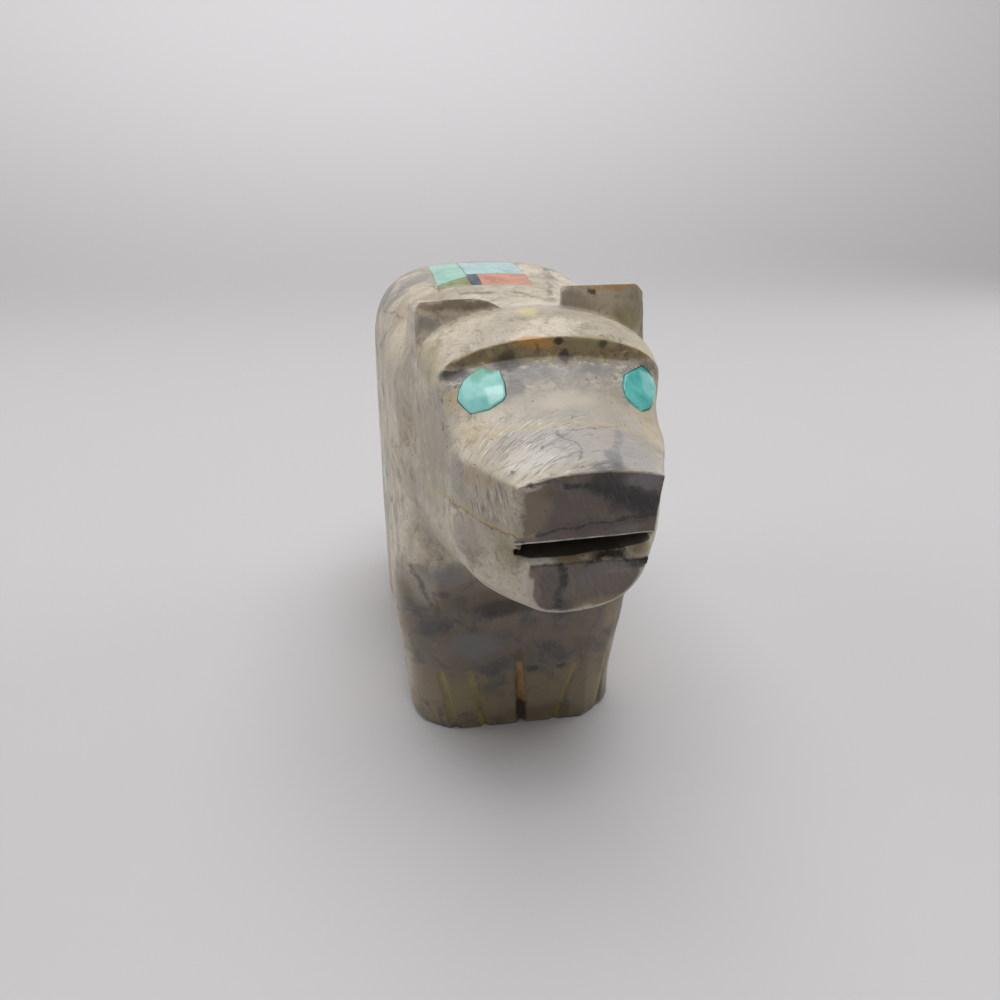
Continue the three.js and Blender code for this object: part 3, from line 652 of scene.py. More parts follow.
# Patches of colour: centre, radii, colour, strength
patches = (
    # snout, from above
    ((0, -11, 28.3), (7, 5, 2.4), WARM_GREY, 0.4),
    ((0, -11.6, 28), (6, 3.4, 2), LILAC, 0.75),
    ((0, -8.4, 30), (6, 3, 2.2), PUTTY, 0.7),
    ((-4.2, -11.6, 27), (2.6, 2.6, 1.4), PUTTY, 0.45),
    ((3, -13.3, 27.3), (1.7, 1.9, 1.3), LILAC, 0.9),
    # painted highlight: the cream patch between the eyes
    ((0.2, -8.6, 29.6), (2.2, 0.9, 0.8), CREAM, 0.5),
    ((-3.2, -12.9, 27.5), (2, 1.3, 1), WHITE, 0.35),
    ((1.3, -13.5, 27.5), (0.55, 1, 0.6), BLUE_GREY, 0.9),
    ((0.8, -14.5, 27.2), (1.3, 1, 0.7), SLATE, 0.75),
    ((-0.6, -14.8, 27), (1.6, 0.5, 0.35), BLUE_GREY, 0.6),
    ((5.3, -9.5, 27.6), (1.2, 2.5, 1.6), OCHRE, 0.35),
    ((-5.5, -9.3, 28), (1.2, 1.6, 0.9), OCHRE, 0.3),
    # right side of the snout
    ((-6.7, -9.6, 25.6), (1, 1.5, 1.9), BLUE_GREY, 0.5),
    ((-6, -11, 26.1), (0.9, 1.1, 1), RUST, 0.45),
    ((-5.4, -12.3, 26.2), (0.8, 0.9, 0.8), OCHRE, 0.4),
    ((-6.2, -10.2, 21.8), (1.5, 1.8, 1.7), BLUE_GREY, 0.45),
    ((-4.6, -12.9, 21.6), (1, 1, 2.2), OLIVE, 0.65),
    ((-7.4, -6.5, 27.5), (1.6, 2.8, 3.2), PUTTY, 0.75),
    ((-5.8, -11.5, 24.5), (1.6, 3.4, 3), PUTTY, 0.4),
    ((-7.8, -4, 24), (1.6, 3, 3), OLIVE, 0.25),
    # jaw
    ((-4.5, -11, 18.2), (2.5, 3, 1), CREAM, 0.5),
    # bevel of the lower lip; its white and cream patches are painted light, as the bevel lies in the shade
    # of the nose
    ((-0.6, -13.4, 21.55), (4, 0.7, 0.5), TAUPE, 0.6),
    ((-2.75, -13.4, 21.55), (1, 0.6, 0.45), WHITE, 1),
    ((-0.9, -13.5, 21.5), (1.1, 0.6, 0.4), OLIVE, 0.85),
    ((0.4, -13.5, 21.7), (0.8, 0.6, 0.3), CREAM, 0.9),
    ((1.7, -13.3, 21.5), (1.1, 0.9, 0.4), BLACK, 0.75),
    ((2.5, -13.5, 21.8), (0.9, 0.6, 0.16), LILAC, 0.7),
    ((3.9, -13, 21.6), (0.8, 0.9, 0.7), UMBER, 0.6),
    # brow
    ((-1, -6, 32.55), (1.6, 0.8, 0.5), ORANGE, 0.85),
    ((2.4, -6, 32.4), (2.1, 0.8, 0.6), OLIVE, 0.9),
    ((-3.4, -6.2, 32.2), (1.3, 0.8, 0.4), OLIVE, 0.6),
    ((0.3, -6, 32.6), (0.35, 0.6, 0.3), BLACK, 0.9),
    ((0.8, -6.2, 31.6), (0.5, 0.6, 0.45), BLACK, 0.75),
    ((3.2, -6, 32.3), (0.45, 0.6, 0.35), BLACK, 0.7),
    ((-3, -6.4, 31.6), (1.1, 0.9, 0.9), BLACK, 0.8),
    # painted shade under the brow's step: the blue-grey and slate of the next three rows
    ((-1.6, -7, 30.9), (2.4, 0.9, 0.7), BLUE_GREY, 0.6),
    ((2.2, -7, 31), (2, 0.8, 0.5), BLUE_GREY, 0.5),
    ((-2.8, -7.6, 30.2), (0.8, 1, 0.9), SLATE, 0.5),
    ((5.6, -8.6, 28.6), (1.2, 1.2, 1.2), OLIVE, 0.4),
    ((-6.3, -6.1, 30.8), (1.2, 0.6, 0.35), BLACK, 0.8),
    ((-6.6, -7.3, 30), (0.8, 0.8, 1), OCHRE, 0.6),
    ((4.9, -7.2, 30.4), (0.5, 0.5, 0.4), YELLOW, 0.8),
    # forehead and crown
    ((1, -1.6, 34.2), (5, 2.6, 1), PUTTY, 0.4),
    ((-0.7, -2.3, 33.9), (0.9, 1.3, 0.7), YELLOW, 0.8),
    ((-7.3, -3.6, 31.2), (1.1, 2.6, 1.5), OLIVE, 0.5),
    ((6.6, -4.4, 31.6), (1.6, 2, 1.3), OCHRE, 0.35),
    # ears
    ((-4.6, -1, 33.6), (3.4, 1.1, 1.2), UMBER, 0.15),
    ((-4.8, -1, 34.25), (3.4, 1, 0.45), BROWN, 0.7),
    ((-7.1, -1.2, 33.1), (0.9, 0.7, 0.6), BLUE_GREY, 0.7),
    ((5.5, -1, 33.6), (3.2, 1.2, 1.9), UMBER, 0.25),
    ((3, -1.2, 34.2), (1.3, 1, 1.1), BROWN, 0.4),
    ((6.6, -1, 33.2), (1.2, 1.2, 1.2), OLIVE, 0.6),
    ((5.6, -1, 35.3), (2.8, 0.6, 0.3), ORANGE, 0.6),
    ((4.2, -1, 35), (0.35, 0.5, 0.3), BLACK, 0.8),
    # chest and front legs, where the head's frame lies 0.2 mm to one side
    ((-7.6, 0.2, 13.6), (1.5, 1.8, 2.4), WARM_GREY, 0.8),
    ((-5.9, -1.4, 15), (1.7, 1.2, 1.2), BLUE_GREY, 0.7),
    ((-6.3, -0.6, 12.9), (0.8, 0.7, 0.7), SLATE, 0.7),
    # painted shade under the chin: the brown and black of the next three rows are partly the stone's dark
    # veins, partly painted shadow of the chin
    ((0, -0.1, 12), (6, 2, 1.6), BROWN, 0.5),
    ((-1.6, -0.1, 11), (2.6, 1, 1.1), BLACK, 0.6),
    ((3.2, -0.1, 10.5), (1.6, 1, 1.2), BLACK, 0.4),
    ((1.2, 0.4, 8.4), (2, 1, 1), TAUPE, 0.5),
    ((-3.8, 0.4, 7.6), (2.8, 1, 1.4), BLUE_GREY, 0.8),
    ((5, 0.4, 7.2), (1.8, 1, 1.5), TAUPE, 0.5),
    ((-2.3, 0.1, 5.5), (1.6, 0.9, 0.7), SLATE, 0.7),
    ((0.9, 0, 5.2), (0.6, 0.6, 0.4), BLACK, 0.6),
    ((3.4, 0, 5.2), (0.6, 0.6, 0.4), BLACK, 0.5),
    ((-5, 0, 3), (2, 1, 2), OLIVE, 0.5),
    ((-1.6, 0, 2.6), (1.4, 1, 1.6), TAUPE, 0.5),
    ((5, 0, 2.6), (1.4, 1, 1.6), TAUPE, 0.45),
    ((2, 0, 0.9), (5, 1, 0.8), BROWN, 0.5),
    ((8.2, 1.6, 4), (1.2, 1.6, 4), WARM_GREY, 0.8),
    ((7.6, 1, 9), (1.2, 1.4, 2), OCHRE, 0.35),
)

# The same, on the sawn face alone
face_patches = (
    # nose
    ((-1.4, -14.5, 25), (2.6, 1, 1.8), MAUVE_BROWN, 0.6),
    ((-3.6, -14.4, 25.2), (1.3, 1.2, 2.4), TAUPE, 0.85),
    ((2.7, -14.7, 26.4), (1.6, 1, 0.8), ASH, 0.7),
    ((0.6, -14.8, 26.5), (1.6, 0.8, 0.9), BLACK, 0.8),
    ((1.5, -14.6, 25.8), (1.5, 0.8, 0.8), BLACK, 0.85),
    ((2.4, -14.6, 25.1), (1.5, 0.8, 0.9), BLACK, 0.7),
    ((3.2, -14.5, 24.8), (1.3, 0.8, 1.2), BLACK, 0.85),
    ((2.9, -14.8, 26.5), (1.1, 0.8, 0.5), ASH, 0.85),
    ((0.5, -14.2, 23.7), (4, 0.8, 0.7), MAUVE_BROWN, 0.7),
    ((2.1, -14.2, 23.55), (1.2, 0.8, 0.3), ASH, 0.6),
    ((0.4, -14.2, 23.9), (3, 0.8, 0.6), BLACK, 0.25),
    ((-3.8, -14.8, 26.75), (1, 0.6, 0.4), CREAM, 0.85),
    ((-4.1, -14.7, 26.3), (0.18, 0.4, 0.24), BLACK, 0.9),
    ((-3.6, -14.8, 26.85), (0.16, 0.4, 0.14), BLACK, 0.9),
    # chin
    ((-2, -13, 19.5), (0.9, 1.2, 2.2), MAUVE_BROWN, 0.8),
    ((-3, -13, 19.4), (0.6, 1.2, 2.4), TAUPE, 0.7),
    ((1.4, -13.2, 20), (2.4, 1, 1.3), ASH, 0.35),
    ((1.5, -12.6, 17.9), (2.2, 1, 0.8), UMBER, 0.6),
    ((-1.1, -12.6, 17.8), (0.9, 0.8, 1), BLACK, 0.5),
    ((3.5, -13.4, 20.8), (1, 0.8, 0.6), BLACK, 0.7),
)

# Surfaces that carry veins: the directions along and across a vein, and the third with its limits
TOP = ("x", "y", "z", 25, 31)
NEAR_NOSE = ("y", "x", "z", 27.2, 29)
LOWER_LIP = ("x", "z", "y", -17, -11.8)
FACE = ("x", "z", "y", -17, -12.1)
DOWN_FACE = ("z", "x", "y", -17, -12.1)
SIDE = ("y", "z", "x", -8, -3.4)
FRONT = ("z", "x", "y", -2.5, 1.6)

# Veins: surface, path as (along, across), width, colour, strength
veins = (
    # ochre seams over the snout
    (TOP, ((-4.6, -9.9), (-3.4, -10), (-2, -10.4), (1.7, -10.4), (4.9, -10.7)), 0.11, OCHRE, 0.8),
    (TOP, ((-3, -11.3), (-0.9, -11.2), (1, -10.8), (2.6, -10.5)), 0.07, BROWN, 0.55),
    (TOP, ((-5.6, -12.2), (-4, -12.6), (-2.2, -12.1), (-0.4, -11.5)), 0.06, SLATE, 0.4),
    (TOP, ((-3.2, -13.5), (-1.6, -13.1), (-0.2, -12.8)), 0.07, SLATE, 0.5),
    # slate band that runs down to the nose
    (NEAR_NOSE, ((-14.6, 0.5), (-13.2, 1.4), (-11.9, 2.3), (-11, 2.7)), 0.35, BLUE_GREY, 0.7),
    (NEAR_NOSE, ((-13.4, -0.5), (-12.6, -0.1), (-11.6, -1), (-11, -1.3)), 0.1, SLATE, 0.6),
    # nose
    (FACE, ((-3.8, 26.8), (-2.1, 26.75), (-1, 26.5)), 0.09, SLATE, 0.8),
    (FACE, ((-1.8, 26.6), (-0.6, 26.4), (0.6, 26), (1.9, 25.5), (4, 24.5)), 0.22, BLACK, 0.9),
    (FACE, ((-3.8, 23.6), (-2.4, 23.7), (-1, 23.9), (1.2, 24.05), (4, 24.25)), 0.09, BLACK, 0.85),
    # chin
    (DOWN_FACE, ((17.2, -0.85), (18.8, -1.25), (20, -1.15), (21.4, -1.6)), 0.3, BLACK, 1),
    (LOWER_LIP, ((0.2, 21.1), (1, 21.2), (1.9, 21.5), (2.6, 21.2), (4.4, 20.6)), 0.2, BLACK, 0.9),
    # seam along the right side of the snout
    (SIDE, ((-14.4, 23.6), (-11.9, 23.7), (-9.2, 23.9), (-5.6, 23.1)), 0.22, OCHRE, 0.6),
    (SIDE, ((-14.4, 23.5), (-11.9, 23.55), (-10.1, 23.8), (-8.3, 23.7)), 0.07, BROWN, 0.7),
    # streaks on the chest
    (FRONT, ((11.6, -7.2), (13, -7.6), (15.4, -8.6)), 0.22, SLATE, 0.7),
    (FRONT, ((9, -5.8), (11, -6.6), (13, -7)), 0.15, BROWN, 0.6),
)

# Stains of the toe cuts: path as (height, across), width, colour, strength
toe_stains = (
    (((0.6, -5.6), (5.3, -6.5)), 0.28, MOSS, 0.75),
    (((0, -3.1), (5.3, -4.2)), 0.26, MOSS, 0.9),
    (((1.6, 0), (6.6, -0.3)), 0.55, BROWN, 0.8),
    (((2, 0.1), (5.6, -0.15)), 0.24, ORANGE, 0.9),
    (((-0.2, 0.05), (1.9, 0)), 0.5, BLACK, 0.9),
    (((0.3, 2.9), (5.2, 4.4)), 0.24, MOSS, 0.6),
    (((0.6, 6.6), (5.2, 7.5)), 0.3, MOSS, 0.6),
)


def drift(shade, place, scale, reach):
    """Smooth random moves of a place."""
    cloud = shade.node("ShaderNodeTexNoise", {"Vector": place, "Scale": scale, "Detail": 1}, "Color")
    centred = shade.vector("SUBTRACT", cloud, (0.5, 0.5, 0.5))
    return shade.vector("MULTIPLY", centred, (reach, reach, reach))


def marked_place(shade):
    """Places on the unturned head in millimetres, as they are and a little warped."""
    turned = Matrix.Rotation(-HEAD_TURN, 3, "Z") @ HEAD_PIVOT
    move = HEAD_PIVOT - turned - Vector((0, LEG_FRONT, 0))
    true_place = shade.place(move, -HEAD_TURN)
    moves = shade.vector("ADD", drift(shade, true_place, 0.7, 0.8), drift(shade, true_place, 4, 0.3))
    return true_place, shade.vector("ADD", true_place, moves)


def patch_mask(shade, place, centre, radii):
    """1 in the middle of a patch, 0 past its edge."""
    offset = shade.vector("SUBTRACT", place, centre)
    scaled = shade.vector("DIVIDE", offset, radii)
    distance = shade.vector("LENGTH", scaled, output="Value")
    return shade.rise(distance, 0.45, 1.15, 1, 0)


def add_patches(shade, place, colour, rows):
    """A colour with patches laid over it."""
    for centre, radii, patch_colour, strength in rows:
        mask = patch_mask(shade, place, centre, radii)
        colour = shade.blend(colour, patch_colour, mask, strength)
    return colour


def between(shade, value, low, high, fade):
    """1 between two values, with soft ends."""
    return shade.times(shade.rise(value, low - fade, low), shade.rise(value, high, high + fade, 1, 0))


def vein_mask(shade, axes, surface, path, width):
    """1 on a vein that follows a path over a surface, with a core and soft sides."""
    along, across, third, low, high = surface
    line = shade.curve(axes[along], path)
    distance = shade.maths("ABSOLUTE", shade.maths("SUBTRACT", axes[across], line))
    core = shade.rise(distance, 0.35 * width, 1.3 * width, 1, 0)
    ends = between(shade, axes[along], path[0][0], path[-1][0], 0.3)
    return shade.times(core, ends, between(shade, axes[third], low, high, 0.3))


def scratch_mask(shade, across, along, fineness):
    """Fine parallel lines: noise that is pulled out along one direction."""
    lines = shade.node("ShaderNodeCombineXYZ", {0: across, 1: shade.times(along, 0.11)})
    return shade.rise(shade.noise(lines, fineness, 2, 0.7), 0.54, 0.66)


class StonePlaces:
    """Places, noises and regions that the markings of the stone share."""

    def __init__(self, shade):
        self.true_place, self.place = marked_place(shade)
        self.axes = dict(zip("xyz", shade.split(self.place)))
        self.true_axes = dict(zip("xyz", shade.split(self.true_place)))
        self.true_x, self.true_y, self.true_z = self.true_axes.values()
        self.mottle = shade.noise(self.place, 0.55, 4, 0.6, 0.4)
        self.wisp = shade.noise(shade.spread(self.place, (1, 1, 0.7)), 1, 4, 0.7, 0.6)
        self.grain = shade.noise(self.true_place, 2.3, 3, 0.75)
        self.on_body = shade.rise(self.true_y, 2, 10)
        self.on_front = shade.rise(self.true_y, -3, -7, 0.15, 1)
        # the front of the chest and legs: darkened partly in the stone's own colour, partly with painted
        # shade under the chin
        self.chest = shade.times(shade.rise(self.true_y, 4.5, 0.8), shade.rise(self.true_z, 16.5, 12.5))

        profile = [(height, face_plane(height)) for height in (16.5, 17.2, 20, LIP_HEIGHT, 26.7, 28.5)]
        self.behind_face = shade.maths("SUBTRACT", self.true_y, shade.curve(self.true_z, profile))
        fray = shade.times(shade.maths("SUBTRACT", self.wisp, 0.5), 0.5)
        worn_right = shade.rise(self.axes["x"], -3.5, -4.3, 0, 0.22)
        worn_side = shade.times(worn_right, shade.rise(self.axes["z"], 23, 24))
        frayed = shade.maths("ADD", self.behind_face, shade.maths("ADD", fray, worn_side))
        self.on_face = shade.rise(frayed, 0.28, 0.1)
        self.off_face = shade.maths("SUBTRACT", 1, self.on_face)
        self.face_across = shade.maths("ADD", self.true_x, shade.times(self.true_z, 0.5))


def ground_colour(shade, at, settings):
    """Cream above, grey and mauve towards the chest and legs. The mauve, olive and taupe of the chest are
    partly the stone's own colour and partly painted shade, as the chest lies under the chin and faces away
    from the lamps.
    """
    cloud = shade.noise(at.place, 0.16, 3, 0.55, 0.6)
    stain = shade.noise(shade.spread(at.place, (1, 0.6, 1.3)), 0.3, 3, 0.6)
    return shade.layers(
        tuple(settings.cream),
        (tuple(settings.grey), shade.rise(cloud, 0.42, 0.62)),
        (WARM_GREY, shade.rise(at.mottle, 0.5, 0.7, 0, 0.6)),
        (OCHRE, shade.rise(stain, 0.58, 0.74, 0, 0.35)),
        (MAUVE, at.chest, 0.85),
        (OLIVE, at.chest, shade.rise(at.true_z, 6.5, 3, 0, 0.6)),
        (TAUPE, at.chest, shade.rise(at.true_z, 6, 4, 0, 0.4)),
    )


def add_brow(shade, at, colour):
    """The browned step of the brow."""
    brow = shade.times(between(shade, at.true_y, -7.4, -5.9, 0.1), shade.rise(at.true_z, 31.05, 31.5))
    burn = shade.noise(shade.spread(at.true_place, (1, 1, 1.6)), 1.1, 3, 0.65, 0.5)
    return shade.layers(
        colour,
        (UMBER, brow, 0.95),
        (BROWN, brow, shade.rise(burn, 0.48, 0.62, 0, 0.75)),
        (OCHRE, brow, shade.rise(burn, 0.46, 0.34, 0, 0.6)),
    )


def add_clouds(shade, at, colour):
    """Wisps over the whole stone, banks on the body, shadows on the chest, and grain and grit."""
    wisp_strength = shade.maths("SUBTRACT", 0.7, shade.times(at.on_body, 0.35))
    above_chest = shade.maths("SUBTRACT", 1, at.chest)
    bank = shade.noise(shade.spread(at.place, (1, 0.7, 1.2)), 0.13, 4, 0.6, 1.2)
    shadows = shade.noise(at.place, 0.42, 3, 0.6, 0.8)
    grit = shade.noise(at.true_place, 5.5, 2, 0.7)
    return shade.layers(
        colour,
        (TAUPE, shade.rise(at.wisp, 0.5, 0.68), wisp_strength),
        (ASH, at.on_body, shade.rise(bank, 0.54, 0.66, 0, 0.65)),
        (RUST, at.on_body, shade.rise(bank, 0.44, 0.34, 0, 0.3)),
        (WHITE, above_chest, shade.rise(at.wisp, 0.44, 0.3, 0, 0.4)),
        (SLATE, at.chest, shade.rise(shadows, 0.46, 0.68, 0, 0.7)),
        (TAUPE, at.chest, shade.rise(shadows, 0.46, 0.32, 0, 0.8)),
        (OLIVE, shade.rise(at.grain, 0.52, 0.68, 0, 0.35)),
        (SLATE, shade.rise(grit, 0.55, 0.75, 0, 0.5), at.on_front),
    )


def add_brow_shade_and_streaks(shade, at, colour):
    """Painted shade under the brow: a blue-grey wash broken into streaks, with white streaks between."""
    shaded_band_under_brow = shade.times(between(shade, at.true_y, -8.4, -6.6, 0.7), shade.rise(at.true_z, 29.3, 30.4))
    streaks = shade.noise(shade.spread(at.place, (0.6, 1.2, 2)), 1.9, 3, 0.7, 0.3)
    return shade.layers(
        colour,
        (BLUE_GREY, shaded_band_under_brow, shade.rise(streaks, 0.46, 0.58, 0.05, 0.95)),
        (WHITE, shaded_band_under_brow, shade.rise(streaks, 0.44, 0.34, 0, 0.7)),
    )


def add_hair_veins(shade, at, colour):
    """Hair veins right through the stone, where noise passes its middle."""
    behind_nose = shade.maths("ADD", shade.rise(at.true_y, -9, -3, 0, 0.4), shade.times(at.on_body, 0.3))
    broken = shade.rise(at.mottle, 0.4, 0.6, 0.1, 1)
    for scale, width, vein_colour in ((0.06, 0.008, SLATE), (0.1, 0.012, TAUPE), (0.16, 0.006, SLATE)):
        sheet = shade.noise(shade.spread(at.place, (1, 0.5, 1)), scale, 1.5, 0.45, 0.4)
        near = shade.maths("ABSOLUTE", shade.maths("SUBTRACT", sheet, 0.5))
        mask = shade.times(shade.rise(near, width, 0.2 * width), behind_nose, broken)
        colour = shade.blend(colour, vein_colour, mask)
    return colour


def add_face(shade, at, colour):
    """The sawn face of nose and chin, dark partly in the stone's own colour and partly with painted shade,
    as the face turns away from the lamps.
    """
    face = shade.blend(MAUVE, BROWN, shade.rise(at.mottle, 0.42, 0.62))
    down = shade.times(at.true_z, 0.25)
    brushed = shade.noise(shade.node("ShaderNodeCombineXYZ", {0: at.face_across, 1: down}), 2.2, 3, 0.6)
    face = shade.blend(face, ASH, shade.rise(brushed, 0.5, 0.68, 0, 0.6))
    face = add_patches(shade, at.place, face, face_patches)
    return shade.blend(colour, face, at.on_face)


def add_veins(shade, at, colour):
    """The seams and veins at known places, and the stains of the toe cuts."""
    speckle = shade.rise(at.grain, 0.38, 0.54, 0.45, 1)
    for surface, path, width, vein_colour, strength in veins:
        mask = vein_mask(shade, at.axes, surface, path, width)
        if surface in (FACE, DOWN_FACE):
            mask = shade.times(mask, at.on_face)
        colour = shade.blend(colour, vein_colour, mask, speckle, strength)
    uneven = shade.rise(at.mottle, 0.4, 0.55, 0.45, 1)
    for path, width, stain_colour, strength in toe_stains:
        mask = vein_mask(shade, at.true_axes, FRONT, path, width)
        colour = shade.blend(colour, stain_colour, mask, uneven, strength)
    return colour


def add_edge_highlights(shade, at, colour):
    """Painted highlights: the pale rim along the bottom of the chin and the white line along the edge of
    the upper lip.
    """
    chin = shade.rise(at.true_z, 20.6, 20.2)
    lip = between(shade, at.true_z, LIP_HEIGHT + 0.02, LIP_HEIGHT + 0.08, 0.03)
    uneven = shade.rise(at.mottle, 0.35, 0.5, 0.3, 0.8)
    return shade.layers(
        colour,
        (CREAM, between(shade, at.behind_face, 0.06, 0.5, 0.05), chin, 0.85),
        (WHITE, lip, shade.rise(at.behind_face, 0.2, 0.1), uneven),
    )


def add_flecks(shade, at, colour):
    """Small dark flecks, mostly on the head."""
    for scale, fleck_colour, least in ((1.5, SLATE, 0.69), (2.6, BLACK, 0.72)):
        flecks = shade.noise(shade.vector("ADD", at.place, (scale, 7 * scale, 0)), scale, 1, 0.5)
        mask = shade.times(shade.rise(flecks, least, least + 0.08, 0, 0.7), at.on_front)
        colour = shade.blend(colour, fleck_colour, mask)
    return colour


def add_sanding(shade, at, colour):
    """Sanding marks: arcs over the top of the snout, upright on its side, slanting on the face. The pale
    lines are partly the frosted marks' own colour and partly painted glints of the scratches.
    """
    from_corner = shade.spread(shade.vector("SUBTRACT", at.true_place, (2.8, -22.9, 0)), (1, 1, 0))
    across_top = shade.vector("LENGTH", from_corner, output="Value")
    across_side = shade.maths("ADD", at.true_y, shade.times(at.true_z, -0.25))
    on_top = shade.times(
        shade.rise(at.true_z, 26.6, 27),
        shade.rise(at.true_y, -8.8, -10.5),
        shade.rise(at.true_x, 4, -3, 0.3, 1),
        at.off_face,
    )
    on_side = shade.times(
        shade.rise(at.true_x, -4, -4.6),
        shade.rise(at.true_y, -9.5, -11.5),
        shade.rise(at.true_z, 23.4, 24.4),
        shade.rise(at.true_z, 27, 26.6),
        at.off_face,
    )
    sanded = (
        (on_top, across_top, at.true_x, WHITE),
        (on_side, across_side, at.true_z, WHITE),
        (shade.times(at.on_face, 0.3), at.face_across, at.true_z, LILAC),
    )
    patchy = shade.rise(at.mottle, 0.4, 0.58, 0.25, 1)
    for region, across, along, mark_colour in sanded:
        light = scratch_mask(shade, across, along, 8)
        dark = scratch_mask(shade, shade.maths("ADD", across, 31), along, 5.5)
        colour = shade.layers(colour, (SLATE, dark, region, 0.6), (mark_colour, light, region, patchy, 0.6))
    return colour


def add_mouth_shade(shade, at, colour):
    """Painted shade: black laid over the inside of the mouth."""
    floor = shade.curve(at.true_x, [(row["x"], LIP_HEIGHT - row["height"]) for row in mouth_sections])
    slot = shade.times(
        shade.rise(shade.maths("SUBTRACT", at.true_z, floor), -0.05, -0.01),
        between(shade, at.true_x, mouth_sections[0]["x"] - 0.02, 4.4, 0.03),
        shade.rise(at.true_z, LIP_HEIGHT - 0.01, LIP_HEIGHT - 0.03),
        between(shade, at.behind_face, 0.25, 3, 0.05),
    )
    return shade.blend(colour, BLACK, slot, 0.9)


def stone_material(settings):
    """Cream and grey stone with slate patches, ochre seams, black veins and the marks of sanding."""
    shade = Shading("veined_stone", 0.45)
    at = StonePlaces(shade)
    colour = ground_colour(shade, at, settings)
    for layer in (add_brow, add_clouds, add_brow_shade_and_streaks, add_hair_veins):
        colour = layer(shade, at, colour)
    colour = add_patches(shade, at.place, colour, patches)
    for layer in (add_face, add_veins, add_edge_highlights, add_flecks, add_sanding, add_mouth_shade):
        colour = layer(shade, at, colour)
    return shade.finish(colour, shade.noise(at.true_place, 9, 1, 0.6), 0.02 * MM, 0.5)


# Colours of the inlaid stones: ground, clouds, matrix
inlay_colours = {
    "eye_right": ((0.28, 0.64, 0.6), (0.13, 0.48, 0.4), (0.2, 0.5, 0.42)),
    "eye_left": ((0.15, 0.58, 0.54), (0.06, 0.38, 0.36), (0.05, 0.3, 0.26)),
    "back_green": ((0.3, 0.4, 0.2), (0.22, 0.2, 0.08), (0.1, 0.1, 0.05)),
    "back_turquoise": ((0.36, 0.62, 0.52), (0.26, 0.5, 0.42), (0.1, 0.2, 0.16)),
    "back_blue": ((0.06, 0.09, 0.15), (0.03, 0.05, 0.09), (0.2, 0.2, 0.22)),
    "back_coral": ((0.62, 0.28, 0.18), (0.5, 0.2, 0.13), (0.7, 0.45, 0.35)),
    "back_pale_turquoise": ((0.42, 0.6, 0.6), (0.32, 0.5, 0.5), (0.15, 0.22, 0.2)),
    "flank_upper": ((0.36, 0.62, 0.54), (0.26, 0.5, 0.42), (0.1, 0.2, 0.16)),
    "flank_lower": ((0.2, 0.5, 0.44), (0.12, 0.36, 0.32), (0.05, 0.12, 0.1)),
}

# Green spots in the eyes: node, centre on the unturned head, radius, colour. The two in the right eye are
# painted shade of a flat ground facet that the domed eye lacks.
eye_spots_and_facet_shade = (
    ("eye_right", (-4.9, -6.5, 30.9), 0.75, (0.1, 0.4, 0.27)),
    ("eye_right", (-4.2, -6.6, 31), 0.5, (0.05, 0.28, 0.2)),
    ("eye_left", (5.7, -6.4, 30.5), 0.8, (0.07, 0.4, 0.37)),
)


def inlay_material(node):
    """Polished turquoise, coral or another stone, clouded and with a little matrix."""
    ground, cloud_colour, matrix_colour = inlay_colours[node]
    shade = Shading(node + "_polish", 0.1 if node.startswith("eye") else 0.28)
    place = shade.place()
    cloud = shade.noise(place, 0.45, 3, 0.55, 0.5)
    colour = shade.blend(ground, cloud_colour, shade.rise(cloud, 0.42, 0.68))
    web = shade.noise(place, 0.8, 4, 0.6, 0.8)
    near = shade.maths("ABSOLUTE", shade.maths("SUBTRACT", web, 0.5))
    colour = shade.blend(colour, matrix_colour, shade.rise(near, 0.02, 0.004, 0, 0.5))
    # green spots, the right eye's two of them painted shade of its missing facet
    for eye, centre, radius, spot_colour in eye_spots_and_facet_shade:
        if eye == node:
            mask = patch_mask(shade, marked_place(shade)[1], centre, (radius, radius, radius))
            colour = shade.blend(colour, spot_colour, mask, 0.85)
    return shade.finish(colour, shade.noise(place, 6, 3, 0.6), 0.01 * MM, 0.25)


# The stage

FLOOR_SIZE = 3
FLAT_RADIUS = 0.3  # of the level middle of the floor
FLOOR_RISE = 0.55  # how fast the floor curves up outside it
SKY_COLOUR = (1, 0.985, 0.965, 1)
SKY_STRENGTH = 0.24
BEAR_MIDDLE = Vector((0, -0.01, 0.02))
BACKDROP = Vector((0, 1.4, 0.4))
CAMERA_PLACE = (-0.01094, -0.0631, 0.04122)
CAMERA_TURN = math.radians(10.04)
CAMERA_DIP = math.radians(21.63)
CAMERA_ROLL = math.radians(0.26)


def make_floor(colour):
    """A pale floor that curves up in the distance."""
    bpy.ops.object.select_all(action="DESELECT")
    bpy.ops.mesh.primitive_grid_add(x_subdivisions=96, y_subdivisions=96, size=FLOOR_SIZE)
    floor = bpy.context.object
    floor.name = "floor"
    for vertex in floor.data.vertices:
        out = max(vertex.co.xy.length - FLAT_RADIUS, 0)
        vertex.co.z = FLOOR_RISE * out * out - 0.02 * MM
    bpy.ops.object.shade_smooth()
    material = bpy.data.materials.new("pale_floor")
    material.use_nodes = True
    shader = material.node_tree.nodes["Principled BSDF"]
    shader.inputs["Base Color"].default_value = (*colour, 1)
    shader.inputs["Roughness"].default_value = 0.8
    floor.data.materials.append(material)


def make_sky(scene):
    """A faint even light from all sides."""
    world = bpy.data.worlds.new("studio")
    world.use_nodes = True
    background = world.node_tree.nodes["Background"]
    background.inputs["Color"].default_value = SKY_COLOUR
    background.inputs["Strength"].default_value = SKY_STRENGTH
    scene.world = world


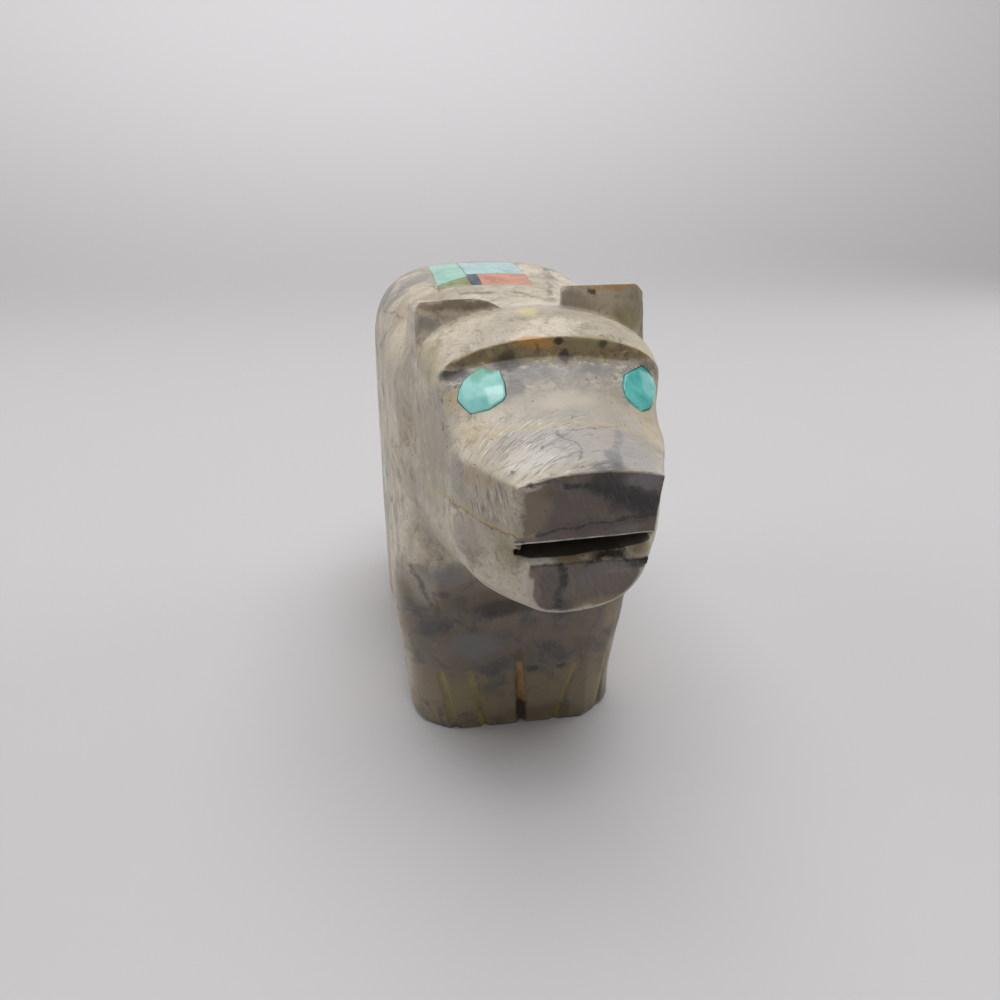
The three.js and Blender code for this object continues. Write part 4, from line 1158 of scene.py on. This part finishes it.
def make_lamps(settings):
    """Square soft lamps, each with its place, size and power and the place that it looks at."""
    for name, place, size, power, target in (
        ("overhead_lamp", (0, 0.02, 0.32), 0.3, settings.key_power, BEAR_MIDDLE),
        ("window_lamp", (0.015, -0.12, 0.31), 0.1, settings.window_power, BEAR_MIDDLE),
        ("right_side_lamp", (-0.3, 0.06, 0.16), 0.2, settings.side_power, BEAR_MIDDLE),
        ("left_side_lamp", (0.3, 0.1, 0.14), 0.2, settings.side_power, BEAR_MIDDLE),
        ("backdrop_lamp", (0, 0.5, 0.9), 0.8, settings.backdrop_power, BACKDROP),
    ):
        bpy.ops.object.light_add(type="AREA", location=place)
        lamp = bpy.context.object
        lamp.name = name
        lamp.data.size = size
        lamp.data.energy = power
        lamp.rotation_euler = (target - lamp.location).to_track_quat("-Z", "Y").to_euler()


def make_camera(scene, lens):
    """The camera of the photo."""
    camera_data = bpy.data.cameras.new("camera")
    camera = bpy.data.objects.new("camera", camera_data)
    bpy.context.collection.objects.link(camera)
    camera_data.lens = lens
    camera_data.sensor_width = 36
    camera_data.clip_start = MM
    camera_data.clip_end = 10
    camera.location = CAMERA_PLACE
    level = math.cos(CAMERA_DIP)
    ahead = Vector((math.sin(CAMERA_TURN) * level, math.cos(CAMERA_TURN) * level, -math.sin(CAMERA_DIP)))
    camera.rotation_mode = "QUATERNION"
    roll = Matrix.Rotation(CAMERA_ROLL, 3, "Z").to_quaternion()
    camera.rotation_quaternion = ahead.to_track_quat("-Z", "Y") @ roll
    scene.camera = camera


class BEAR_OT_stage(Undoable, bpy.types.Operator):
    """Sets up the floor, the soft lamps and the camera"""

    bl_idname = "bear.stage"
    bl_label = "Set the stage"

    def execute(self, context):
        scene = context.scene
        make_floor(scene.bear_stage.floor_colour)
        make_sky(scene)
        make_lamps(scene.bear_stage)
        make_camera(scene, scene.bear_stage.lens)
        scene.view_settings.view_transform = "Standard"
        return {"FINISHED"}


class BEAR_PT_panel(bpy.types.Panel):
    """Panel of the stone bear in the 3D view's sidebar"""

    bl_idname = "BEAR_PT_panel"
    bl_label = "Stone bear"
    bl_space_type = "VIEW_3D"
    bl_region_type = "UI"
    bl_category = "Stone bear"

    def draw(self, context):
        layout = self.layout
        for name, _, operators in groups:
            box = layout.box()
            settings = getattr(context.scene, name)
            for key in settings.bl_rna.properties.keys():
                if key not in {"rna_type", "name"}:
                    box.prop(settings, key)
            for operator in operators:
                box.operator(operator)


# Name, settings and operators of each part of the panel
groups = (
    ("bear_stone", StoneSettings, ("bear.carving", "bear.cuts")),
    ("bear_inlay", InlaySettings, ("bear.flush_stones", "bear.eyes")),
    ("bear_stage", StageSettings, ("bear.stage",)),
)
classes = (
    StoneSettings,
    InlaySettings,
    StageSettings,
    BEAR_OT_carving,
    BEAR_OT_flush_stones,
    BEAR_OT_cuts,
    BEAR_OT_eyes,
    BEAR_OT_stage,
    BEAR_PT_panel,
)


def register():
    for item in classes:
        bpy.utils.register_class(item)
    for name, settings, _ in groups:
        setattr(bpy.types.Scene, name, PointerProperty(type=settings))


def unregister():
    for name, _, _ in groups:
        delattr(bpy.types.Scene, name)
    for item in reversed(classes):
        bpy.utils.unregister_class(item)


def main():
    register()
    bpy.ops.bear.carving()
    bpy.ops.bear.flush_stones()
    bpy.ops.bear.cuts()
    bpy.ops.bear.eyes()
    bpy.ops.bear.stage()


if __name__ == "__main__":
    main()
